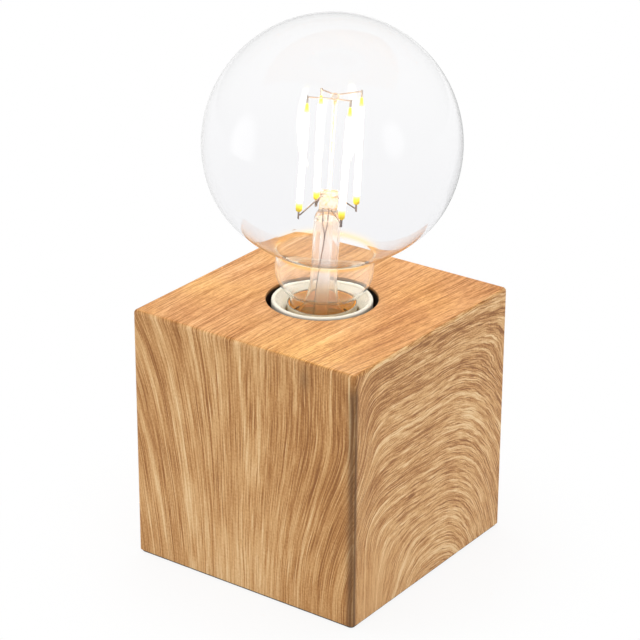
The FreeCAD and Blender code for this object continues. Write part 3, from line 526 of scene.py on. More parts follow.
# %% Oak print
def oak(graph):
    x, y, z = graph.place()
    down = top_level - z
    from_front = y + half_y
    from_back = half_y - y
    from_left = x + half_x
    from_right = half_x - x
    nearest_end = from_front.least(from_back)
    nearest_side = from_left.least(from_right)
    on_side = nearest_side.below(nearest_end.least(down))
    on_top = down.below(nearest_end.least(nearest_side))
    on_back = from_back.below(from_front) * (1 - on_top) * (1 - on_side)
    upright = (1 - on_top) * (1 - on_side)
    line, along = wrapped_grain(graph, x, down, from_front, on_top, on_back)
    is_left = x.below(0.0)
    across = is_left.switch(from_front, from_back * 0.9 + 8.0)
    arch = arched_grain(graph, across, down)

    grain = on_side.switch(line, arch)
    first = on_side.switch(along, across)
    second = on_side * down + is_left * 40

    def streaks(fineness, along_first, along_second, detail=2.0):
        where = graph.vector(grain * fineness, first * along_first, second * along_second)
        return graph.noise(where, detail=detail)

    fibres = streaks(2.6, on_side.switch(on_top.switch(0.09, 0.20), 0.14), 0.14)
    lines = streaks(0.95, 0.018, 0.018)
    tones = streaks(0.16, 0.012, 0.012)
    broken = streaks(0.05, 0.04, 0.04, detail=1.0)
    drift = streaks(0.2, 0.02, 0.02, detail=1.0)
    clear = streaks(0.12, 0.035, 0.035)
    grit = graph.noise(graph.vector(x, y, z), scale=1.1, detail=2.0)
    cloud = graph.noise(graph.vector(x * 0.03, y * 0.03, z * 0.03), detail=1.0)

    ring = (grain / RING_WIDTH + (drift - 0.5) * RING_DRIFT).fraction() ** 2.5
    ring = ring * clear.ramp(0.36, 0.56)
    on_front = reduce(Field.most, [
        (line - down * lean).bell(centre, width) * down.ramp(end, start) * share
        for centre, lean, width, share, (start, end) in PALE_LINES])
    on_arch = reduce(Field.most, [arch.bell(centre, width) * share
                                  for centre, width, share in PALE_ARCHES])
    # The sheen is a painted highlight: pale patches over the arches of the sides.
    sheen = arch.bell(101.0, 5.5) * across.bell(72.0, 13.0) * 0.6
    sheen = sheen.most(arch.bell(96.0, 0.5) * across.bell(73.0, 12.0))
    pale = on_side.switch(on_front * (1 - on_top * 0.7) * broken.ramp(0.10, 0.30),
                          (on_arch * broken.ramp(0.30, 0.46)).most(sheen))

    calm = across.bell(12.0, 16.0) * down.ramp(66, 84) * on_side
    contrast = on_top.switch(1.0, 0.85) * (1 - calm * 0.6)
    tone = (lines - 0.5) * LINE_SHARE + (fibres - 0.5) * on_side.switch(*FIBRE_SHARES)
    tone = tone + (tones - 0.5) * on_side.switch(*TONE_SHARES)
    tone = (tone + (grit - 0.5) * GRIT_SHARE - ring * RING_DEPTH) * contrast
    tone = MIDDLE_TONE + tone + (cloud - 0.5) * CLOUD_SHARE + pale * PALE_SHARE
    # Broad areas, partly the print's tone and partly painted light and shade.
    tone = tone + broad_tones_and_shade(x, across, down, calm, upright, on_side, on_top)
    printed = graph.colours(tone, OAK_TONES)
    # The top is tinted, and yellower in random clouds and in a patch at its front right, which is
    # a painted warm sheen.
    yellow = (x.bell(28.0, 26.0) * y.bell(-46.0, 22.0)).most((cloud - 0.45) * 2).least(1.0)
    tint = graph.blend(yellow.most(0.0), TOP_TINT, TOP_YELLOW_AND_SHEEN)
    printed = graph.blend(on_top, printed, graph.blend(1.0, printed, tint, "MULTIPLY"))

    knot = x.bell(28.2, 2.2) * down.bell(7.0, 4.5) * upright
    # The knot is a mark of the print. The front right-hand edge is painted darker, partly as the
    # shade of its rounding.
    edge_band_and_shade = edge_stripe_and_shade(graph, z, from_right - from_front) * down.ramp(1.0, 9.0)
    dark = (knot * 0.5).most(edge_band_and_shade * (1 - on_top)).least(0.9)
    marked = graph.blend(dark, printed, KNOT_AND_EDGE_SHADE)

    depth = nearest_end.least(nearest_side).least(down)
    bare = graph.blend(depth.ramp(*PRINT_DEPTH), marked, BARE_WOOD)
    radius = (x ** 2 + y ** 2) ** 0.5
    cut = radius.ramp(HOLE_RADIUS + 0.28, HOLE_RADIUS + 0.08)
    # Below its top millimetre the hole's wall is painted near black: painted shade in the gap
    # around the lampholder.
    hole = graph.blend(down.ramp(0.7, 1.3), HOLE_EDGE, HOLE_SHADE)
    height = fibres * 0.6 + lines * 0.4
    return {"Base Color": graph.blend(cut, bare, hole), "Roughness": 0.52 - 0.12 * lines,
            "Normal": graph.bump(height, strength=0.25, distance=0.12)}


dress(finish("oak print", {"Specular IOR Level": 0.35}, oak),
      "top_board", "front_board", "back_board", "left_board", "right_board")

# %% [markdown]
# The lampholder is moulded in cream plastic: its lip is glossy, and faint flow marks and dust
# keep it from looking like paint. The block inside is unglazed ceramic. Each row below holds a
# finish's name, its fixed inputs, its two paints, the speckle's fineness, the bump's strength,
# the roughness, and the solids that wear it.

# %% Plastic, ceramic, cement and wood
# The cement's glow is painted light: the filaments' light that reaches into the cap.
CEMENT_GLOW = {"Emission Color": (0.9, 0.48, 0.12, 1.0), "Emission Strength": 0.26}
MOULDED = (
    ("cream moulding", {"Specular IOR Level": 0.5}, (248, 243, 230), (240, 233, 216),
     1.4, 0.06, 0.28, ("lampholder_skirt", "lampholder_dome")),
    ("unglazed steatite", {}, (232, 226, 212), (214, 206, 190), 3.0, 0.2, 0.7,
     ("contact_block",)),
    ("cap cement", CEMENT_GLOW, (250, 166, 56), (226, 124, 30), 1.2, 0.5, 0.6, ("cap_cement",)),
    ("black moulding", {}, (26, 26, 27), (38, 38, 39), 5.0, 0.25, 0.5, ("cable_bush",)),
    ("black glass", {"Coat Weight": 0.6}, (8, 8, 10), (20, 19, 22), 0.9, 0.05, 0.12,
     ("cap_insulator",)),
    ("sawn softwood", {}, (214, 184, 138), (190, 156, 110), 1.0, 0.5, 0.8, ("corner_blocks",)),
    ("amber board laminate", {}, (216, 160, 82), (196, 138, 62), 3.0, 0.1, 0.4,
     ("driver_board",)),
    ("component sleeve", {}, (24, 24, 28), (36, 36, 42), 3.0, 0.1, 0.35,
     ("driver_capacitor", "driver_chip", "driver_resistor")))


def speckled(base, second, scale, strength, rough):
    """Build function of a moulded or fired surface with fine speckle."""
    def build(graph):
        where = graph.vector(*graph.place())
        fine = graph.noise(where, scale=scale, detail=3.0)
        wide = graph.noise(where, scale=scale * 0.08, detail=1.0)
        mix = (fine * 0.5 + wide * 0.5).ramp(0.35, 0.70)
        return {"Base Color": graph.blend(mix, base, second),
                "Roughness": rough + 0.15 * (fine - 0.5),
                "Normal": graph.bump(fine, strength, distance=0.05)}
    return build


for name, inputs, base, second, scale, strength, rough, solids in MOULDED:
    surface = speckled(paint(*base), paint(*second), scale, strength, rough)
    dress(finish(name, inputs, surface), *solids)

# %% [markdown]
# The metal parts differ in colour and in how they were made: drawn wire, rolled sheet, turned
# or zinc plated. Fine turning lines follow the axis, and plating is mottled. Each row holds the
# finish's name, how metallic it is, its two paints, its roughness, the share of turning lines,
# and the solids that wear it. Nickel and copper are for pieces that are modelled again.

# %% Metals
METALS = (
    ("nickel plate", 1.0, (214, 204, 186), (196, 184, 164), 0.24, 0.7, ()),
    ("rolled brass", 1.0, (226, 196, 128), (206, 172, 104), 0.26, 0.6,
     ("sleeve_rivets", "centre_contact", "terminals")),
    ("zinc plate", 1.0, (186, 190, 194), (160, 166, 172), 0.38, 0.2,
     ("base_plate", "threaded_nipple", "lock_nut", "toothed_washer", "holder_bracket")),
    ("bright screw steel", 1.0, (206, 205, 200), (182, 180, 174), 0.3, 0.5,
     ("base_screws", "bracket_screws", "terminal_screws")),
    ("solder", 1.0, (188, 188, 190), (150, 150, 154), 0.42, 0.0, ("tip_contact",)),
    ("drawn wire", 0.6, (150, 134, 128), (120, 106, 100), 0.4, 0.0, ("foot_support_wires",)),
    ("top wire", 0.4, (226, 204, 186), (204, 176, 156), 0.4, 0.0, ("top_support_wires",)),
    ("copper-clad wire", 0.3, (104, 48, 12), (80, 34, 8), 0.6, 0.0, ()))


def plating(graph):
    """Mottle of a plated or drawn metal, and the share of its second paint."""
    mottle = graph.noise(graph.vector(*graph.place()), scale=0.45, detail=3.0)
    return mottle, mottle.ramp(0.35, 0.7)


def metal(base, second, rough, turned):
    """Build function of a plated or rolled metal, with turning lines around Z if asked."""
    def build(graph):
        mottle, second_share = plating(graph)
        x, y, z = graph.place()
        radius = (x ** 2 + y ** 2) ** 0.5
        lines = graph.noise(graph.vector(radius * 3.0, z * 9.0, 0.0), detail=2.0)
        fine = mottle * (1 - turned) + lines * turned
        return {"Base Color": graph.blend(second_share, base, second),
                "Roughness": rough + 0.16 * (fine - 0.5),
                "Normal": graph.bump(fine, strength=0.12, distance=0.03)}
    return build


metals = {}
for name, metallic, base, second, rough, turned, solids in METALS:
    surface = metal(paint(*base), paint(*second), rough, turned)
    metals[name] = finish(name, {"Metallic": metallic}, surface)
    dress(metals[name], *solids)

# %% [markdown]
# The bulb leans a little in its cap. Its inner parts are laid out in its own frame, so a matrix
# carries that frame to the lamp's: first up to the cap's rim, turned towards the lean, then
# tipped.

# %% The bulb's own frame
LEAN = math.radians(3.1)
HEADING = math.radians(35.5)
rim_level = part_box("screw_cap")[1].z
tip_axis = Vector((-math.sin(HEADING), math.cos(HEADING), 0))
to_lamp = (Matrix.Translation((0, 0, rim_level)) @ Matrix.Rotation(LEAN, 4, tip_axis)
           @ Matrix.Rotation(HEADING, 4, "Z") @ Matrix.Diagonal((1, -1, 1, 1)))
bulb_axis = to_lamp.to_3x3() @ Vector((0, 0, 1))
print("rim level", round(rim_level / MM, 2))


def in_lamp(x, y, level):
    """Point of the lamp from a place in the bulb's frame, in millimetres."""
    return to_lamp @ (Vector((x, y, level)) * MM)


def bulb_level(x, y, z):
    """Height in the bulb's own frame of a place in the lamp's, in millimetres."""
    return x * bulb_axis.x + y * bulb_axis.y + (z - rim_level / MM) * bulb_axis.z


# %% Stamped tabs
TAB_FOOT = (paint(146, 132, 124), paint(120, 106, 100))
TAB_HEAD = (paint(206, 194, 182), paint(188, 174, 162))
TAB_LEVELS = (50.0, 66.0)


def tabs(graph):
    """Stamped metal: bright where it stands in the light at the heads, darker at the feet."""
    mottle, second_share = plating(graph)
    foot = graph.blend(second_share, *TAB_FOOT)
    head = graph.blend(second_share, *TAB_HEAD)
    higher = bulb_level(*graph.place()).ramp(*TAB_LEVELS)
    return {"Base Color": graph.blend(higher, foot, head), "Roughness": 0.32 + 0.16 * mottle,
            "Normal": graph.bump(mottle, strength=0.12, distance=0.03)}


dress(finish("tab metal", {"Metallic": 0.5}, tabs), "filament_tabs")

# %% [markdown]
# Clear glass is a Principled shader with full transmission. The drawn tubes of the stem are a
# little cloudy, because they were heated and pinched. The glass casts no shadow, so the lamps
# reach what is inside and behind it. Levels are millimetres above the cap's rim, and a pair of
# them is where something starts and ends fading in.

# %% Glass finishes
CREASE_LEVEL = 20.2
LOW_FROM_TOP = (100.0, 30.0)
LOW_FROM_CREASE = (14.0, 24.0)
RIM_FADE = (62.0, 92.0)
NECK_GLOW_FROM_CREASE = (CREASE_LEVEL + 1.5, CREASE_LEVEL - 2.5)
NECK_GLOW_FROM_CAP = (3.0, 9.0)
GLASS_TINT = (0.990, 0.990, 0.992, 1.0)
LOW_SHADE_TINT = (0.950, 0.950, 0.958, 1.0)
EDGE_TINT = (0.87, 0.87, 0.88, 1.0)
TOP_EDGE_TINT = (0.97, 0.97, 0.972, 1.0)
CREASE_GOLD_REFLECTION = (1.0, 0.84, 0.56, 1.0)
CREASE_GLOW = (0.10, 0.068, 0.022, 1.0)
NECK_GLOW = (0.050, 0.052, 0.046, 1.0)
NO_GLOW = (0.0, 0.0, 0.0, 1.0)
PRESS_LEVEL = 33.5
AMBER_LIGHT_AT_FOOT = (11.0, -3.0)
FOOT_TO_STEM_GLOW = (0.0, 16.0)
CLEAR_TO_CREAM = (24.0, 33.0)
AMBER_THREADS_AND_LIGHT = (0.96, 0.66, 0.26, 1.0)
STEM_GLOW = (1.0, 0.94, 0.90, 1.0)
FOOT_GLOW = (0.2, 0.14, 0.08, 1.0)
PRESS_GLOW = (1.2, 1.0, 0.8, 1.0)
STEM_CLEAR = (1.0, 0.975, 0.965, 1.0)
CROWN_CREAM = (0.90, 0.82, 0.75, 1.0)


def envelope_glass(graph):
    """Clear glass, greyer edge-on, with painted shade low down and painted light at the crease and
    neck.
    """
    edge_on = graph.add("ShaderNodeLayerWeight", inputs={"Blend": 0.5}).out("Facing")
    level = bulb_level(*graph.place())
    # The lower globe is a little greyer: painted shade.
    low = level.ramp(*LOW_FROM_TOP) * level.ramp(*LOW_FROM_CREASE)
    pane_tint = graph.blend(low, GLASS_TINT, LOW_SHADE_TINT)
    # The edge-on grey is partly the glass's own tint and partly painted shade, and it fades
    # towards the top as painted light.
    rim_tint = graph.blend(level.ramp(*RIM_FADE), EDGE_TINT, TOP_EDGE_TINT)
    pane_tint = graph.blend(edge_on.ramp(0.55, 1.0), pane_tint, rim_tint)
    # The crease is painted gold, and glows: a painted reflection of warm light.
    crease = level.bell(CREASE_LEVEL, 1.0)
    # The neck glows faintly: painted light from the filaments.
    neck_glow_share = level.ramp(*NECK_GLOW_FROM_CREASE) * level.ramp(*NECK_GLOW_FROM_CAP)
    glow = graph.blend(neck_glow_share, NO_GLOW, NECK_GLOW)
    return {"Base Color": graph.blend(crease * 0.85, pane_tint, CREASE_GOLD_REFLECTION),
            "Emission Color": graph.blend(crease, glow, CREASE_GLOW)}


def drawn_glass(graph):
    """Slightly wavy milky glass, with amber threads where it was pinched over the wires; its amber
    foot and its glow are painted light.
    """
    x, y, z = graph.place()
    where = graph.vector(x, y, z)
    waves = graph.noise(where, scale=0.05, detail=1.0)
    threads = (graph.noise(where, scale=0.35, detail=1.0) - 0.5).size().ramp(0.045, 0.0)
    level = bulb_level(x, y, z)
    pinched = threads * level.ramp(PRESS_LEVEL, PRESS_LEVEL + 1.5)
    # Amber towards the foot is painted light: the cap's amber inside seen through the glass.
    amber = pinched.most(level.ramp(*AMBER_LIGHT_AT_FOOT))
    # The glow, warm at the foot and bright at the press, is painted light in the stem.
    glow = graph.blend(level.ramp(*FOOT_TO_STEM_GLOW), FOOT_GLOW, STEM_GLOW)
    glow = graph.blend(level.ramp(PRESS_LEVEL, PRESS_LEVEL + 2.5), glow, PRESS_GLOW)
    clear = graph.blend(level.ramp(*CLEAR_TO_CREAM), STEM_CLEAR, CROWN_CREAM)
    return {"Base Color": graph.blend(amber, clear, AMBER_THREADS_AND_LIGHT),
            "Emission Color": graph.blend(pinched, glow, AMBER_THREADS_AND_LIGHT),
            "Normal": graph.bump(waves, strength=0.1, distance=1.0)}


def glass(name, build, rough, bends, clear, light):
    """Glass finish from its roughness, its refractive index, how clear it is and its glow."""
    return finish(name, {"Roughness": rough, "IOR": bends, "Transmission Weight": clear,
                         "Emission Strength": light}, build)


clear_glass = glass("clear glass", envelope_glass, rough=0.0, bends=1.25, clear=1.0, light=1.0)
stem_glass = glass("stem glass", drawn_glass, rough=0.0, bends=1.2, clear=0.87, light=0.05)
tube_glass = glass("tube glass", drawn_glass, rough=0.03, bends=1.2, clear=0.76, light=0.09)
rod_glass = glass("rod glass", drawn_glass, rough=0.05, bends=1.45, clear=0.85, light=0.0)

# %% [markdown]
# Glass bends what is behind it, so its walls need smoother rings than a solid for construction
# has. Every glass piece is built from rings: a level, two half widths, and a power that turns a
# circle gradually into the flat pinched press.

# %% Rings
POINT = 1e-6
CRISP = math.radians(35)


def smooth_step(start, end, value):
    """Smooth step from 0 at start to 1 at end."""
    share = min(max((value - start) / (end - start), 0.0), 1.0)
    return share * share * (3 - 2 * share)


def arc(centre, radius, start, end, steps):
    """Points (level, reach) of an arc around a (reach, level) centre, by angles in degrees."""
    points = []
    for step in range(steps + 1):
        angle = math.radians(start + (end - start) * step / steps)
        points.append((centre[1] + radius * math.sin(angle), centre[0] + radius * math.cos(angle)))
    return points


def circles(points):
    """Round rings through (level, reach) points."""
    return [(level, reach, reach, 2.0) for level, reach in points]


def skinned(name, rows, material, crisp=math.pi):
    """Closed smooth piece over rings of points, where a ring of one point closes an end."""
    shape = bmesh.new()
    sides = max(len(row) for row in rows)
    rings = [[shape.verts.new(place) for place in row] for row in rows]
    for low, high in zip(rings, rings[1:]):
        for step in range(sides):
            after = (step + 1) % sides
            corners = [low[step % len(low)], low[after % len(low)],
                       high[after % len(high)], high[step % len(high)]]
            shape.faces.new(list(dict.fromkeys(corners)))
    bmesh.ops.recalc_face_normals(shape, faces=shape.faces)
    if shape.calc_volume(signed=True) < 0:
        bmesh.ops.reverse_faces(shape, faces=shape.faces)
    for face in shape.faces:
        face.smooth = True
    for edge in shape.edges:
        edge.smooth = edge.calc_face_angle(0.0) < crisp
    mesh = bpy.data.meshes.new(name)
    shape.to_mesh(mesh)
    shape.free()
    mesh.materials.append(material)
    return put(name, mesh)


def ringed(name, rings, sides, material, node):
    """Closed glass piece through (level, half width, half thickness, power) rings in mm."""
    rows = []
    for level, wide, thick, power in rings:
        row = []
        for step in range(sides if wide > POINT else 1):
            angle = 2 * math.pi * step / sides
            cos, sin = math.cos(angle), math.sin(angle)
            reach = (abs(cos) ** power + abs(sin) ** power) ** (-1 / power)
            row.append(in_lamp(wide * reach * cos, thick * reach * sin, level))
        rows.append(row)
    piece = skinned(name, rows, material, CRISP)
    piece.visible_shadow = False
    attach(piece, "bulb")
    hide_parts(node)
    print(name, "has", len(piece.data.polygons), "faces")


# %% [markdown]
# The envelope starts as a tube in the cap, swells through a shoulder in two arcs to the neck,
# and meets the globe in a small rounded crease, which is then lifted a little. Its inside
# follows the same arcs, one wall thickness in.

# %% Envelope
TUBE_RADIUS = 12.1
TUBE_BOTTOM = -7.5
TUBE_TOP = 1.4
NECK_RADIUS = 18.4
SHOULDER_INNER = 3.0
SHOULDER_ANGLE = 62.0
CREASE = 2.2
GLOBE_RADIUS = 47.5
GLOBE_LEVEL = 62.2
GLASS_WALL = 0.55
CREASE_LIFT = 2.3
LIFT_FROM_CAP = (2, 14)
LIFT_FROM_GLOBE = (44, 17)
ENVELOPE_SIDES = 256


def envelope(inset):
    """Half outline of the envelope from its foot to its top, a distance inside its outside."""
    swing = math.radians(SHOULDER_ANGLE)
    shoulder_outer = (NECK_RADIUS - TUBE_RADIUS) / (1 - math.cos(swing)) - SHOULDER_INNER
    rise = (SHOULDER_INNER + shoulder_outer) * math.sin(swing)
    crease_x = NECK_RADIUS + CREASE
    drop = math.sqrt((GLOBE_RADIUS + CREASE) ** 2 - crease_x ** 2)
    contact = math.degrees(math.atan2(drop, crease_x))
    points = [(TUBE_BOTTOM, TUBE_RADIUS - inset)]
    points += arc((TUBE_RADIUS + SHOULDER_INNER, TUBE_TOP), SHOULDER_INNER + inset,
                  180, 180 - SHOULDER_ANGLE, 10)
    points += arc((NECK_RADIUS - shoulder_outer, TUBE_TOP + rise), shoulder_outer - inset,
                  -SHOULDER_ANGLE, 0, 12)[1:]
    points += arc((crease_x, GLOBE_LEVEL - drop), CREASE + inset, 180, 180 - contact, 10)
    points += arc((0, GLOBE_LEVEL), GLOBE_RADIUS - inset, -contact, 90, 120)[1:-1]
    points += [(GLOBE_LEVEL + GLOBE_RADIUS - inset, 0.0)]
    return [(level + CREASE_LIFT * smooth_step(*LIFT_FROM_CAP, level)
             * smooth_step(*LIFT_FROM_GLOBE, level), reach) for level, reach in points]


ringed("glass_envelope", circles(envelope(0.0)[::-1] + envelope(GLASS_WALL)), ENVELOPE_SIDES,
       clear_glass, "bulb_glass")

# %% [markdown]
# The stem is one tube that was worked at both ends: flared at the foot, where it is melted to
# the envelope, and pinched flat at the top over the wires. The thin exhaust tube hangs inside
# it, and a solid rod with a bead stands on it.

# %% Stem
STEM_RADIUS = 5.0
STEM_WALL = 0.8
FLARE_TOP = 9.5
CROWN = 34.0
PRESS_BOTTOM = 36.5
PRESS_TOP = 44.2
PRESS_WIDE = 3.4
PRESS_THICK = 1.7
PRESS_ROUNDING = 0.9
PINCH_STEPS = 12
DOME = 1.6
JOIN_GAP = 0.05


def flare(inset):
    """Points down the flare, from the straight stem to its wide foot."""
    drop = FLARE_TOP - TUBE_BOTTOM
    spread = TUBE_RADIUS - GLASS_WALL - 0.1 - STEM_RADIUS
    angle = 2 * math.degrees(math.atan2(spread, drop))
    radius = drop / math.sin(math.radians(angle))
    return arc((STEM_RADIUS + radius, FLARE_TOP), radius + inset, 180, 180 + angle, 16)


press = [(PRESS_TOP, 0.0, 0.0, 2.0)]
for share in (0.35, 0.6, 0.8, 0.93, 1.0):
    level = PRESS_TOP - PRESS_ROUNDING * (1 - math.sqrt(1 - share ** 2))
    inset = PRESS_ROUNDING * (1 - share)
    press.append((level, PRESS_WIDE - inset, PRESS_THICK - inset, 4.0))
pinch_top = PRESS_BOTTOM + 0.8
pinch_end = CROWN - 1.2
for step in range(PINCH_STEPS + 1):
    share = step / PINCH_STEPS
    ease = smooth_step(0, 1, share)
    press.append((pinch_top + (pinch_end - pinch_top) * share,
                  PRESS_WIDE + (STEM_RADIUS - PRESS_WIDE) * ease,
                  PRESS_THICK + (STEM_RADIUS - PRESS_THICK) * ease, 4.0 - 2.0 * ease))
hollow_top = CROWN - 1.0
hollow_radius = STEM_RADIUS - STEM_WALL
outside = flare(0.0) + [(TUBE_BOTTOM - JOIN_GAP, TUBE_RADIUS)]
foot = [(TUBE_BOTTOM - GLASS_WALL, TUBE_RADIUS)]
inside = flare(STEM_WALL)[::-1] + [(CROWN - 3.0, hollow_radius)]
inside += arc((hollow_radius - DOME, hollow_top - DOME), DOME, 0, 90, 6) + [(hollow_top, 0.0)]
ringed("formed_stem", press + circles(outside + foot + inside), 72, stem_glass, "glass_stem")

# %% Exhaust tube and rod
ROD_RADIUS = 0.55
BEAD_RADIUS = 1.5
BEAD_LEVEL = 80.0
tube_top = hollow_top - JOIN_GAP
tube = [(-8.6, 0.0), (-8.3, 0.9), (-7.6, 1.8), (tube_top, 1.8), (tube_top, 2.4),
        (-8.0, 2.4), (-9.2, 1.6), (-9.8, 0.8), (-10.0, 0.0)]
ringed("drawn_exhaust_tube", circles(tube), 48, tube_glass, "exhaust_tube")
rod = [(PRESS_TOP + JOIN_GAP, 0.0), (PRESS_TOP + JOIN_GAP, ROD_RADIUS)]
rod += arc((0.0, BEAD_LEVEL), BEAD_RADIUS, -68, 90, 14)[:-1] + [(BEAD_LEVEL + BEAD_RADIUS, 0.0)]
ringed("glass_rod", circles(rod), 32, rod_glass, "centre_rod")

# %% [markdown]
# Inside the stem run two thin leads. They leave the press apart, close up a little below it, and
# go down to the driver one in front of the other, a little bowed, as wire off a reel is. A wire
# is a curve with a round bevel, and a mesh made from it at the end.

# %% Leads
LEAD_RADIUS = 0.2
LEAD_TOP = 37.6
LEAD_CROWN = 32.2
LEAD_JOIN = 28.0
LEAD_BOW = 8.0
LEAD_SIDES = ((-1.8, 3.30), (0.2, 2.86))
lead_foot = (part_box("lead_wires")[0].z - rim_level) / MM + 2 * LEAD_RADIUS


def worked_out(name, source):
    """Mesh of an object with its bevels and modifiers worked out. The object goes."""
    source.update_tag()
    bpy.context.view_layer.update()
    depsgraph = bpy.context.evaluated_depsgraph_get()
    mesh = bpy.data.meshes.new_from_object(source.evaluated_get(depsgraph))
    mesh.name = name
    bpy.data.objects.remove(source)
    return mesh


def add_spline(curve, kind, places):
    """New spline of a curve through (x, y, z) places."""
    spline = curve.splines.new(kind)
    spline.points.add(len(places) - 1)
    for point, place in zip(spline.points, places):
        point.co = (*place, 1.0)
    return spline


lead_curve = bpy.data.curves.new("stem_leads", "CURVE")
lead_curve.dimensions = "3D"
lead_curve.bevel_depth = LEAD_RADIUS * MM
lead_curve.bevel_resolution = 3
lead_curve.use_fill_caps = True
for top_side, forward in LEAD_SIDES:
    route = [(top_side, 1.0, LEAD_TOP), (top_side, forward - 0.4, LEAD_CROWN),
             (-0.6, forward, LEAD_JOIN), (-1.1, forward, LEAD_JOIN - 6),
             (-2.6, forward, LEAD_BOW), (-3.4, forward, lead_foot)]
    spline = add_spline(lead_curve, "NURBS", [in_lamp(*place) for place in route])
    spline.order_u = 3
    spline.use_endpoint_u = True
lead_mesh = worked_out("stem_leads", put("lead_source", lead_curve))
lead_mesh.materials.clear()
lead_mesh.materials.append(metals["copper-clad wire"])
stem_leads = put("stem_leads", lead_mesh)
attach(stem_leads, "bulb")
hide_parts("lead_wires")
print("leads have", len(lead_mesh.polygons), "faces, foot level", round(lead_foot, 2))

# %% [markdown]
# A filament is a thin strip of LED chips under a yellow phosphor coat. Lit, its middle is far
# brighter than white, while its two ends, past the last chip, stay yellow. The coat is a
# little uneven, so each filament is a tube of rings whose radius wanders. How far a point is
# along the filament is stored with the mesh, and the finish reads it.

# %% Filament finish
FILAMENT_LIGHT = 22.0
FOOT_FADE = (0.125, 0.02)
HEAD_FADE = (0.88, 0.965)
HEAD_SHARE = 0.66
LIT_TO_END = ((0.0, (1.0, 0.88, 0.70, 1)), (0.25, (0.080, 0.075, 0.045, 1)),
              (0.45, (0.055, 0.049, 0.018, 1)), (0.70, (0.030, 0.026, 0.003, 1)),
              (1.0, (0.006, 0.004, 0.0, 1)))


def phosphor(graph):
    """Yellow grainy coat that glows, less and less towards its two ends."""
    along = graph.add("ShaderNodeAttribute", {"attribute_name": "along"}).out("Fac")
    end = along.ramp(*FOOT_FADE).most(along.ramp(*HEAD_FADE) * HEAD_SHARE)
    grain = graph.noise(graph.vector(*graph.place()), scale=3.0, detail=2.0)
    return {"Base Color": graph.blend(grain, paint(238, 216, 62), paint(222, 196, 40)),
            "Emission Color": graph.colours(end, LIT_TO_END),
            "Roughness": 0.55 + grain * 0.2,
            "Normal": graph.bump(grain, strength=0.3, distance=0.05)}


phosphor_coat = finish("phosphor coat", {"Emission Strength": FILAMENT_LIGHT}, phosphor)

# %% Filaments
FILAMENT_RADIUS = 1.1
FOOT_LEVEL = 37.0
HEAD_LEVEL = 78.7
HEADS = ((8.6, 50.5), (11.1, -29.5), (7.2, 226.5), (11.0, 154.5))
FEET = ((11.6, 65.5), (11.8, -28.5), (9.5, 242.5), (11.8, 155.5))
FOOT_SWELL = 0.12
FOOT_ZONE = (0.11, 0.04)
HEAD_TAPER = 0.46
HEAD_ZONE = (0.89, 0.97)
UNEVEN = 0.05
RINGS = 48
SIDES = 20


def bulb_spot(place, level):
    """Point of the lamp from a (reach, angle) place and a level in the bulb's frame."""
    reach, angle = place
    angle = math.radians(angle)
    return in_lamp(reach * math.cos(angle), reach * math.sin(angle), level)


def filament(name, foot, head, seed):
    """Closed tube with rounded ends between two points, with its length stored per point."""
    run = head - foot
    axis = run.normalized()
    side = axis.orthogonal().normalized()
    other = axis.cross(side)
    rows = []
    shares = []
    for ring in range(RINGS + 1):
        share = (1 - math.cos(math.pi * ring / RINGS)) / 2
        end_gap = min(share, 1 - share) * run.length / (FILAMENT_RADIUS * MM)
        round_off = math.sqrt(max(0.0, 1 - (1 - min(end_gap, 1.0)) ** 2))
        swell = (FOOT_SWELL * smooth_step(*FOOT_ZONE, share)
                 - HEAD_TAPER * smooth_step(*HEAD_ZONE, share))
        wobble = 1 + swell - UNEVEN * (noise.noise(Vector((share * 9, seed * 3.7, 0))) + 0.5)
        radius = FILAMENT_RADIUS * MM * round_off * wobble
        angles = [2 * math.pi * step / SIDES for step in range(SIDES if radius > POINT else 1)]
        centre = foot + run * share
        rows.append([centre + side * radius * math.cos(angle) + other * radius * math.sin(angle)
                     for angle in angles])
        shares += [share] * len(angles)
    piece = skinned(name, rows, phosphor_coat)
    along = piece.data.attributes.new("along", "FLOAT", "POINT")
    along.data.foreach_set("value", shares)
    return piece


for index, (head_place, foot_place) in enumerate(zip(HEADS, FEET)):
    node = "led_filament_" + str(index + 1)
    piece = filament("filament_coat_" + str(index + 1), bulb_spot(foot_place, FOOT_LEVEL),
                     bulb_spot(head_place, HEAD_LEVEL), index)
    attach(piece, "bulb")
    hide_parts(node)
    print(piece.name, "has", len(piece.data.polygons), "faces")

# %% [markdown]
# The cap's shell and the sleeve that it screws into are thin sheet with a rolled, rounded
# thread. The crest of a right-handed thread climbs by one pitch for each turn to the left as
# seen from above, so the radius is a wave of level minus angle. A Geometry Nodes tree bends a
# flat grid to that rule, with its sizes as named inputs, and Solidify gives it a wall. Both
# parts use the same wave, so they stay meshed while the bulb turns and climbs.

# %% Thread tree
PITCH = 3.629
THREAD_INPUTS = ("Start Radius", "Start Level", "Wall Radius", "Wall Level", "Top Level",
                 "Depth", "Pitch", "Fade In Level", "Fade Out Level", "Skirt Step")
ROUND = 97
ROWS = 150
FLANGE_SHARE = 0.10
FADE = 1.4


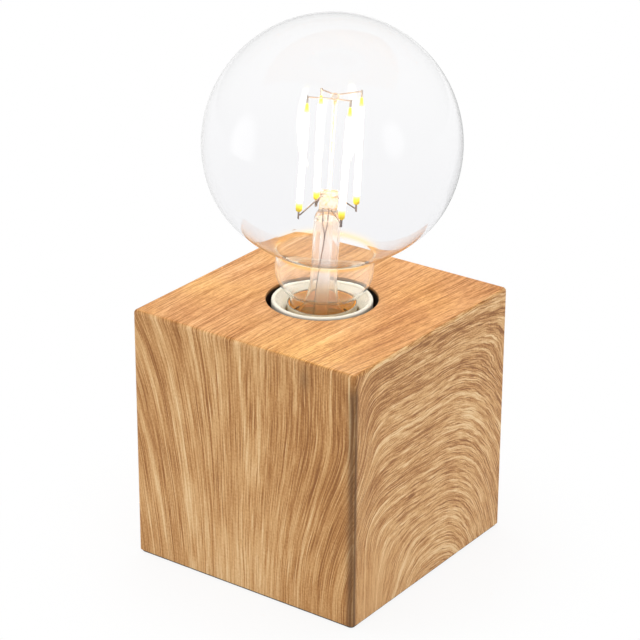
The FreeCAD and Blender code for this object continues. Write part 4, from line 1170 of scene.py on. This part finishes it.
def thread_tree():
    """Tree that bends a grid into a rolled thread around Z, in millimetres."""
    tree = bpy.data.node_groups.new("rolled thread", "GeometryNodeTree")
    for name in THREAD_INPUTS:
        tree.interface.new_socket(name, in_out="INPUT", socket_type="NodeSocketFloat")
    tree.interface.new_socket("Finish", in_out="INPUT", socket_type="NodeSocketMaterial")
    tree.interface.new_socket("Sheet", in_out="OUTPUT", socket_type="NodeSocketGeometry")
    graph = Graph(tree)
    given = graph.add("NodeGroupInput")
    size = {name: given.out(name) for name in THREAD_INPUTS}
    grid = graph.add("GeometryNodeMeshGrid", inputs={"Size X": 1.0, "Size Y": 1.0,
                                                     "Vertices X": ROUND, "Vertices Y": ROWS})
    grid_x, grid_y = graph.parts(graph.add("GeometryNodeInputPosition"))[:2]
    angle = (grid_x + 0.5) * (2 * math.pi)
    rise = grid_y + 0.5
    first = (rise / FLANGE_SHARE).least(1.0)
    later = ((rise - FLANGE_SHARE) / (1 - FLANGE_SHARE)).most(0.0)
    level = (size["Start Level"] + (size["Wall Level"] - size["Start Level"]) * first
             + (size["Top Level"] - size["Wall Level"]) * later)
    reach = size["Start Radius"] + (size["Wall Radius"] - size["Start Radius"]) * first
    fade_in = ((level - size["Fade In Level"]) / FADE).most(0.0).least(1.0)
    fade_out = ((size["Fade Out Level"] - level) / FADE).most(0.0).least(1.0)
    wave = 0.5 - 0.5 * (level / size["Pitch"] * (2 * math.pi) - angle).cosine()
    groove = size["Depth"] * fade_in * fade_out * wave
    step = size["Skirt Step"] * (1 - fade_out)
    radius = reach.least(size["Wall Radius"] - groove - step) * MM
    place = graph.vector(radius * angle.cosine(), radius * angle.sine(), level * MM)
    sheet = grid.out("Mesh")
    for kind, inputs in (("GeometryNodeSetPosition", {"Position": place}),
                         ("GeometryNodeMergeByDistance", {"Distance": POINT}),
                         ("GeometryNodeSetShadeSmooth", {}),
                         ("GeometryNodeRealizeInstances", {}),
                         ("GeometryNodeSetMaterial", {"Material": given.out("Finish")})):
        sheet = graph.add(kind, inputs={"Geometry": sheet, **inputs})
    graph.add("NodeGroupOutput", inputs={0: sheet})
    return tree


thread = thread_tree()


def rolled_sheet(name, material, sizes, wall, outwards):
    """Mesh piece from the thread tree, with a wall on one side of the sheet."""
    holder = put(name + "_holder", bpy.data.meshes.new(name + "_holder"))
    modifier = holder.modifiers.new("thread", "NODES")
    modifier.node_group = thread
    values = {**dict(zip(THREAD_INPUTS, sizes)), "Finish": material}
    for item in thread.interface.items_tree:
        if item.in_out == "INPUT":
            modifier[item.identifier] = values[item.name]
    mesh = worked_out(name, holder)
    shape = bmesh.new()
    shape.from_mesh(mesh)
    bmesh.ops.recalc_face_normals(shape, faces=shape.faces)
    middle = max(shape.faces, key=lambda face: face.calc_center_median().xy.length)
    if middle.normal.xy.dot(middle.calc_center_median().xy) < 0:
        bmesh.ops.reverse_faces(shape, faces=shape.faces)
    shape.to_mesh(mesh)
    shape.free()
    piece = put(name, mesh)
    solid = piece.modifiers.new("wall", "SOLIDIFY")
    solid.thickness = wall * MM
    solid.offset = 1.0 if outwards else -1.0
    print(name, "has", len(mesh.vertices), "points before its wall")
    return piece


# %% Cap and sleeve
cap_low, cap_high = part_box("screw_cap")
sleeve_low, sleeve_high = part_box("thread_sleeve")
start = cap_low.z / MM
rim = cap_high.z / MM
CAP_RADIUS = cap_high.x / MM
CAP_FOOT_RADIUS = 10.1
CAP_FOOT_RISE = 2.5
THREAD_DEPTH = 1.0
SKIRT_HEIGHT = 5.0
SKIRT_STEP = 0.2
CAP_WALL = 0.4
cap_shell = rolled_sheet("cap_shell", metals["nickel plate"],
                         (CAP_FOOT_RADIUS, start, CAP_RADIUS, start + CAP_FOOT_RISE, rim,
                          THREAD_DEPTH, PITCH, start, rim - SKIRT_HEIGHT, SKIRT_STEP),
                         wall=CAP_WALL, outwards=False)
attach(cap_shell, "bulb")
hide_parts("screw_cap")

SLEEVE_FOOT_RADIUS = 10.15
SLEEVE_GAP = 0.2
SLEEVE_WALL = 0.35
PLAIN_FOOT = 2.5
PLAIN_RIM = 2.0
sleeve_floor = sleeve_low.z / MM
sleeve_rim = sleeve_high.z / MM
sleeve_shell = rolled_sheet("sleeve_shell", metals["rolled brass"],
                            (SLEEVE_FOOT_RADIUS, sleeve_floor + SLEEVE_WALL,
                             CAP_RADIUS + SLEEVE_GAP, sleeve_floor + SLEEVE_WALL, sleeve_rim,
                             THREAD_DEPTH, PITCH, sleeve_floor + PLAIN_FOOT,
                             rim - SKIRT_HEIGHT - PLAIN_RIM, 0.0),
                            wall=SLEEVE_WALL, outwards=True)
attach(sleeve_shell, "lamp_base")
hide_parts("thread_sleeve")

# %% [markdown]
# The lamp stands on a thin pad of pressed felt. It is a flat cut sheet with soft rounded edges
# and a hole at each screw, so it is drawn as a filled outline with a small bevel, and its
# outline wanders a little, as a cut felt edge does.

# %% Felt pad
PAD_EDGE = 0.25
PAD_CORNER = 1.6
CORNER_STEPS = 6
SIDE_STEPS = 40
EDGE_WANDER = 0.06 * MM
WAVES_PER_METRE = 400
SCREW_PLACE = 34.5
ACCESS_RADIUS = 4.0
HOLE_SIDES = 32
FELT_TONES = ((0.3, paint(50, 48, 46)), (0.7, paint(104, 101, 96)))
pad_low, pad_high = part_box("base_pad")


def add_outline(curve, points):
    """Closed straight-sided outline in the XY plane."""
    spline = add_spline(curve, "POLY", [(x, y, 0.0) for x, y in points])
    spline.use_cyclic_u = True


def rounded_square(half, corner):
    """Points of a rounded square, with a slight wander along its sides."""
    points = []
    for quarter in range(4):
        turn_angle = quarter * math.pi / 2
        cos, sin = math.cos(turn_angle), math.sin(turn_angle)
        side_points = [(x, y) for y, x in arc((half - corner, half - corner), corner,
                                              0, 90, CORNER_STEPS)]
        for step in range(1, SIDE_STEPS):
            x = half - corner - 2 * (half - corner) * step / SIDE_STEPS
            where = Vector((x * WAVES_PER_METRE, quarter * 5.0, 0))
            wander = EDGE_WANDER * (noise.noise(where) - 0.5)
            side_points.append((x, half + wander - EDGE_WANDER / 2))
        points += [(x * cos - y * sin, x * sin + y * cos) for x, y in side_points]
    return points


def felt(graph):
    """Matted dark fibres in loose clumps."""
    where = graph.vector(*graph.place())
    fibres = graph.noise(where, scale=4.0, detail=4.0, roughness=0.7)
    clumps = graph.noise(where, scale=0.5, detail=2.0)
    return {"Base Color": graph.colours(fibres * 0.7 + clumps * 0.3, FELT_TONES),
            "Roughness": 0.9 + fibres * 0.1,
            "Normal": graph.bump(fibres, strength=0.8, distance=0.15)}


edge = PAD_EDGE * MM
pad_curve = bpy.data.curves.new("felt_pad", "CURVE")
pad_curve.dimensions = "2D"
pad_curve.fill_mode = "BOTH"
pad_curve.extrude = (pad_high.z - pad_low.z) / 2 - edge
pad_curve.bevel_depth = edge
pad_curve.bevel_resolution = 2
pad_curve.offset = -edge
add_outline(pad_curve, rounded_square(pad_high.x, PAD_CORNER * MM))
for sign_x in (-1, 1):
    for sign_y in (-1, 1):
        hole = arc((sign_x * SCREW_PLACE, sign_y * SCREW_PLACE), ACCESS_RADIUS,
                   0, 360, HOLE_SIDES)[:-1]
        add_outline(pad_curve, [(x * MM, y * MM) for y, x in hole])
pad_mesh = worked_out("felt_pad", put("felt_source", pad_curve))
pad_mesh.transform(Matrix.Translation((0, 0, (pad_low.z + pad_high.z) / 2)))
shape = bmesh.new()
shape.from_mesh(pad_mesh)
bmesh.ops.remove_doubles(shape, verts=shape.verts, dist=POINT)
bmesh.ops.recalc_face_normals(shape, faces=shape.faces)
shape.to_mesh(pad_mesh)
shape.free()
pad_mesh.materials.clear()
pad_mesh.materials.append(finish("pressed felt", {"Sheen Weight": 0.3}, felt))
felt_pad = put("felt_pad", pad_mesh)
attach(felt_pad, "lamp_base")
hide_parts("base_pad")
print("felt pad has", len(pad_mesh.polygons), "faces")
